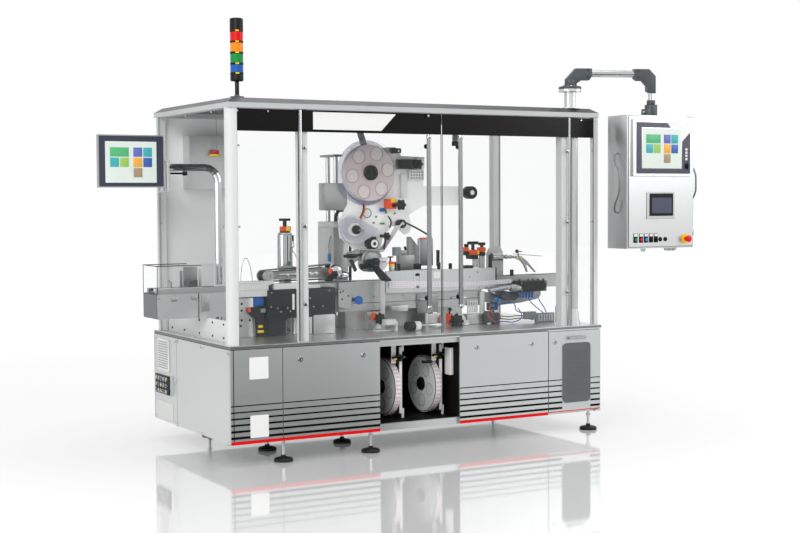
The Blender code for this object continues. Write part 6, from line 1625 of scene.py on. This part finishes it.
# The lining is painted shade: near-black sheets on all inner faces of the recess.
gather("bay_shade_lining", BAY_SHADE_BLACK, [(1.012, 0.635, 0.177, 1.598, 0.6385, 0.664),
    (1.0105, 0.012, 0.177, 1.0118, 0.6385, 0.664), (1.5982, 0.012, 0.177, 1.5995, 0.6385, 0.664),
    (1.012, 0.04, 0.663, 1.598, 0.635, 0.6643), (1.012, 0.04, 0.1757, 1.598, 0.635, 0.1768)])
for number, left in enumerate((1.243, 1.545), 1):
    face = left - 0.012
    edge = [bar((left - 0.008, 0.15, 0.21), (left + 0.012, 0.158, 0.64), 0.002)]
    edge += [rod("Z", left + 0.022, 0.164, low, high, 0.0095, 0.002, 24)
        for low, high in ((0.177, 0.24), (0.61, 0.663))]
    side = [bar((left, 0.1585, 0.2), (left + 0.006, 0.42, 0.65), 0.002),
        bar((left + 0.006, 0.39, 0.1765), (left + 0.03, 0.42, 0.664), 0.002),
        rod("X", *UNWIND_HUB, face - 0.04, left + 0.004, 0.011, 0, 20)]
    gather(f"unwind_{number}_edge", WHITE, edge)
    gather(f"unwind_{number}_side", SHEET_DARK, side, stands_for=(f"unwind_plate_{number}",))
    hub, ahead = Vector((face, *UNWIND_HUB)), Vector((face - 1, *UNWIND_HUB))
    body = f"unwind_reel_{number}"
    gather(f"unwind_{number}_paper", WEB, [turned(flat(0.03, 0.188, 0.01, 0.05), hub, ahead, 72)],
        body, stands_for=(body,))
    gather(f"unwind_{number}_disc", DISC_STEEL,
        [turned(flat(0.013, 0.18, 0.0502, 0.052), hub, ahead, 72)], body)
    gather(f"unwind_{number}_rims", BLACK,
        [turned(flat(0.1795, 0.1835, 0.049, 0.0522), hub, ahead, 72),
        turned(flat(0.04, 0.046, 0.0522, 0.054), hub, ahead, 40)], body)
    windows, rims = [], []
    for turn in (math.radians(15 + 72 * step) for step in range(5)):
        spot = hub + 0.108 * Vector((0, -math.cos(turn), -math.sin(turn)))
        windows.append(turned(flat(0.0, 0.0375, 0.052, 0.0532), spot, spot + Vector((-1, 0, 0)),
            32))
        rims.append(turned(flat(0.0378, 0.0405, 0.052, 0.0534), spot, spot + Vector((-1, 0, 0)),
            32))
    gather(f"unwind_{number}_windows", WHITE_FILM, windows, body)
    gather(f"unwind_{number}_window_rims", GREY_PLASTIC, rims, body)
    gather(f"unwind_{number}_hub", BLACK,
        [turned([(0.0, 0.0522), (0.038, 0.0522), (0.038, 0.066), (0.033, 0.07), (0.0, 0.07)], hub,
        ahead, 40)], body)
    dashes = []
    for step in range(44):
        turn = math.tau * step / 44
        spin = Matrix.Translation(hub) @ Matrix.Rotation(turn, 4, "X")
        dashes += [moved(bar((-low - 0.005, -0.0045, 0.1878), (-low, 0.0045, 0.1886)), spin)
            for low in (0.016, 0.027, 0.038)]
    gather(f"unwind_{number}_marks", PRINT_RED, dashes, body)
    gather(f"unwind_{number}_web", WHITE_FILM,
        [(face - 0.05, 0.16, 0.535, face - 0.016, 0.1612, 0.6625)])
    sensor = [bar((face - 0.055, 0.13, 0.566), (face + 0.024, 0.148, 0.582), 0.003),
        bar((face - 0.024, 0.13, 0.548), (face + 0.012, 0.148, 0.594), 0.002)]
    gather(f"unwind_{number}_sensor", BLACK, sensor)
    gather(f"unwind_{number}_ties", YELLOW,
        [(face - 0.05, 0.128, 0.562, face - 0.026, 0.1298, 0.57, 0.001)])
    gather(f"unwind_{number}_lamp", GREEN,
        [(face + 0.024, 0.13, 0.569, face + 0.04, 0.144, 0.58, 0.002)])
gather("web_clamp", BLACK, [(1.4, 0.13, 0.524, 1.47, 0.15, 0.544, 0.003)])
gather("bay_box", WHITE_FILM, [(1.572, 0.075, 0.444, 1.598, 0.144, 0.622, 0.003)])
dots = []
for x, z in ((1.29, 0.3), (1.302, 0.28), (1.312, 0.262), (1.296, 0.238), (1.306, 0.222),
        (1.288, 0.21), (1.318, 0.206), (1.575, 0.29), (1.588, 0.272), (1.58, 0.256), (1.59, 0.24)):
    dots.append(rod("Y", x, z, 0.418, 0.415, 0.0034, 0, 12))
gather("bay_fittings", YELLOW, dots)
gather("bay_cables", RUBBER, [pipe(
    [(1.3, 0.424, 0.18), (1.31, 0.424, 0.26), (1.298, 0.424, 0.34), (1.32, 0.43, 0.43)], 0.01, 10)])

# %% [markdown]
# ## Roof and left end
# The roof is a shallow pan. Its sloped crown is painted near black as painted shade, a shaded copy
# of the roof's paint. The junction box with the emergency stop hangs on the left end pane.

# %% Roof and junction box
roof_low, roof_high = (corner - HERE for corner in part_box("roof"))
SLOPE, FASCIA = 0.045, 2.1706
crown = bar((roof_low.x - 0.0004, roof_low.y - 0.0004, FASCIA),
    (roof_high.x + 0.0004, roof_high.y + 0.0004, roof_high.z + 0.0005))
middle = (roof_low + roof_high) / 2
for vert in crown.verts:
    if vert.co.z > FASCIA + 0.01:
        vert.co.x += SLOPE if vert.co.x < middle.x else -SLOPE
        vert.co.y += SLOPE if vert.co.y < middle.y else -SLOPE
# The crown's dark paint is painted shade on the roof's top slopes.
gather("roof_crown", CROWN_SHADE_PAINT, [crown])
gather("box_stop_ring", YELLOW, [rod("Z", 0.378, 1.118, 1.884, 1.898, 0.04, 0.003, 36)])
gather("box_stop", RED, [rod("Z", 0.378, 1.118, 1.898, 1.926, 0.024, 0.006, 36)])
gather("box_stop_wire", GREY_PLASTIC,
    [pipe([(0.384, 1.118, 1.92), (0.386, 1.12, 2.0), (0.388, 1.124, 2.136)], 0.0016)])
gather("roof_screws", STEEL, screws([(x, 0.0005, 2.118) for x in (0.06, 1.372, 2.69)], 0.007,
    0.003))
gather("end_frame_screws", STEEL, screws(
    [(2.7462, y, z) for y in (0.15, 1.15) for z in (0.25, 0.6)], 0.01, 0.005, (1, 0, 0)))
print(len(pieces), "pieces so far")

# %% [markdown]
# ## Studio
# The machine stands in a plain pale studio. The world is the main light, a large lamp on each side
# models the forms, and the floor is a satin sheet that keeps the shadow and a weak mirror image.
# The camera and mirror rays see a white world through Light Path, so chrome and glass stay bright
# while the light on the object stays plain.

# %% Studio
MAT_BLACK = plastic("mat_black", (0.02, 0.02, 0.02), 0.8)
mat_top = MAT_BLACK.node("ShaderNodeNewGeometry", output="Backfacing") * -1.0 + 1.0
MAT_BLACK.set("Alpha", mat_top)
WORLD_LIGHT = 0.62
FLOOR_HALF = 30.0
FLOOR_Z = -0.0005         # a little under the feet
MIRROR_SHARE = 0.6        # of the floor's light, against its matt share
MAT_Z = 0.004
LIFT_NEAR, LIFT_FAR, LIFT_REACH = 0.02, 0.3, 9.0     # glow under the machine, far away, and how far


class Sky(Look):
    """The world's tree, filled by the same methods as a finish."""

    def __init__(self, name):
        self.world = bpy.data.worlds.new(name)
        self.world.use_nodes = True
        self.tree = self.world.node_tree
        self.shader = self.tree.nodes["Background"]
        self.set("Color", (1, 1, 1, 1))


sky = Sky("studio")
rays = [sky.node("ShaderNodeLightPath", output=f"Is {kind} Ray")
    for kind in ("Camera", "Transmission", "Glossy")]
white = rays[0].math("MAXIMUM", rays[1]).math("MAXIMUM", rays[2])
sky.set("Strength", white * (1.0 - WORLD_LIGHT) + WORLD_LIGHT)
bpy.context.scene.world = sky.world


def studio_floor():
    shape = bmesh.new()
    bmesh.ops.create_grid(shape, x_segments=1, y_segments=1, size=FLOOR_HALF)
    mesh = bpy.data.meshes.new("studio_floor")
    shape.to_mesh(mesh)
    shape.free()
    floor = bpy.data.objects.new("studio_floor", mesh)
    floor.location.z = FLOOR_Z
    bpy.context.collection.objects.link(floor)
    look = Look("studio_floor", (0.93, 0.93, 0.93), 0.7)
    matt = look.node("ShaderNodeBsdfDiffuse", inputs={"Color": (0.94, 0.94, 0.94, 1.0)})
    mirror = look.node("ShaderNodeBsdfGlossy", inputs={"Roughness": 0.05})
    share = look.node("ShaderNodeMixShader", inputs={"Fac": MIRROR_SHARE, 1: matt, 2: mirror})
    near = look.node("ShaderNodeTexGradient", {"gradient_type": "SPHERICAL"},
        {"Vector": look.place((1 / LIFT_REACH, 1 / LIFT_REACH, 1))}, output=1)
    lift = look.node("ShaderNodeEmission",
        inputs={"Strength": near * (LIFT_NEAR - LIFT_FAR) + LIFT_FAR})
    seen_floor = look.node("ShaderNodeLightPath", output="Is Camera Ray") * 1.0
    glow = look.node("ShaderNodeMixShader", inputs={"Fac": seen_floor, 2: lift})
    both = look.node("ShaderNodeAddShader", inputs={0: share, 1: glow})
    end = look.tree.nodes["Material Output"]
    look.tree.links.new(both.socket, end.inputs["Surface"])
    mesh.materials.append(look.material)
    floor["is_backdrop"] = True


def lamp(name, place, aim, size, power):
    light = bpy.data.lights.new(name, "AREA")
    light.shape = "RECTANGLE"
    light.size, light.size_y = size
    light.energy = power
    item = bpy.data.objects.new(name, light)
    item.location = Vector(place) + HERE
    item.rotation_euler = (Vector(aim) - Vector(place)).to_track_quat("-Z", "Y").to_euler()
    bpy.context.collection.objects.link(item)


def dark_mat(name, corners):
    """A black mat before the left panels, which only mirror rays from above see."""
    shape = bmesh.new()
    shape.faces.new([shape.verts.new((x, y, MAT_Z)) for x, y in corners])
    mesh = bpy.data.meshes.new(name)
    shape.to_mesh(mesh)
    shape.free()
    mesh.materials.append(MAT_BLACK.material)
    card = bpy.data.objects.new(name, mesh)
    card.location = HERE
    bpy.context.collection.objects.link(card)
    for kind in ("camera", "diffuse", "transmission", "shadow"):
        setattr(card, "visible_" + kind, False)
    card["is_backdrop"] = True


studio_floor()
dark_mat("dark_mat", ((1.0, -8.0), (5.2, -8.0), (1.4, -0.25), (-1.2, -0.25)))
lamp("key_left", (-4.0, -4.5, 4.6), (1.4, 0.5, 1.2), (3.0, 3.0), 190.0)
lamp("side_left", (-4.4, -0.6, 1.7), (0.2, 1.2, 1.4), (2.6, 2.0), 45.0)
lamp("fill_right", (6.5, -4.0, 3.6), (1.6, 0.5, 1.2), (3.0, 3.0), 110.0)
lamp("top", (1.4, 0.6, 5.6), (1.4, 0.6, 1.0), (4.5, 3.0), 120.0)
bpy.context.scene.view_settings.view_transform = "Standard"
print("studio lamps", len(bpy.data.lights))

# %% Size and finish
dressed_low, dressed_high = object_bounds()
sizes = {"cad": [list(CAD_LOW), list(CAD_HIGH)], "visual": [list(dressed_low), list(dressed_high)]}
print("dressed box", [round(v, 3) for v in (*dressed_low, *dressed_high)])
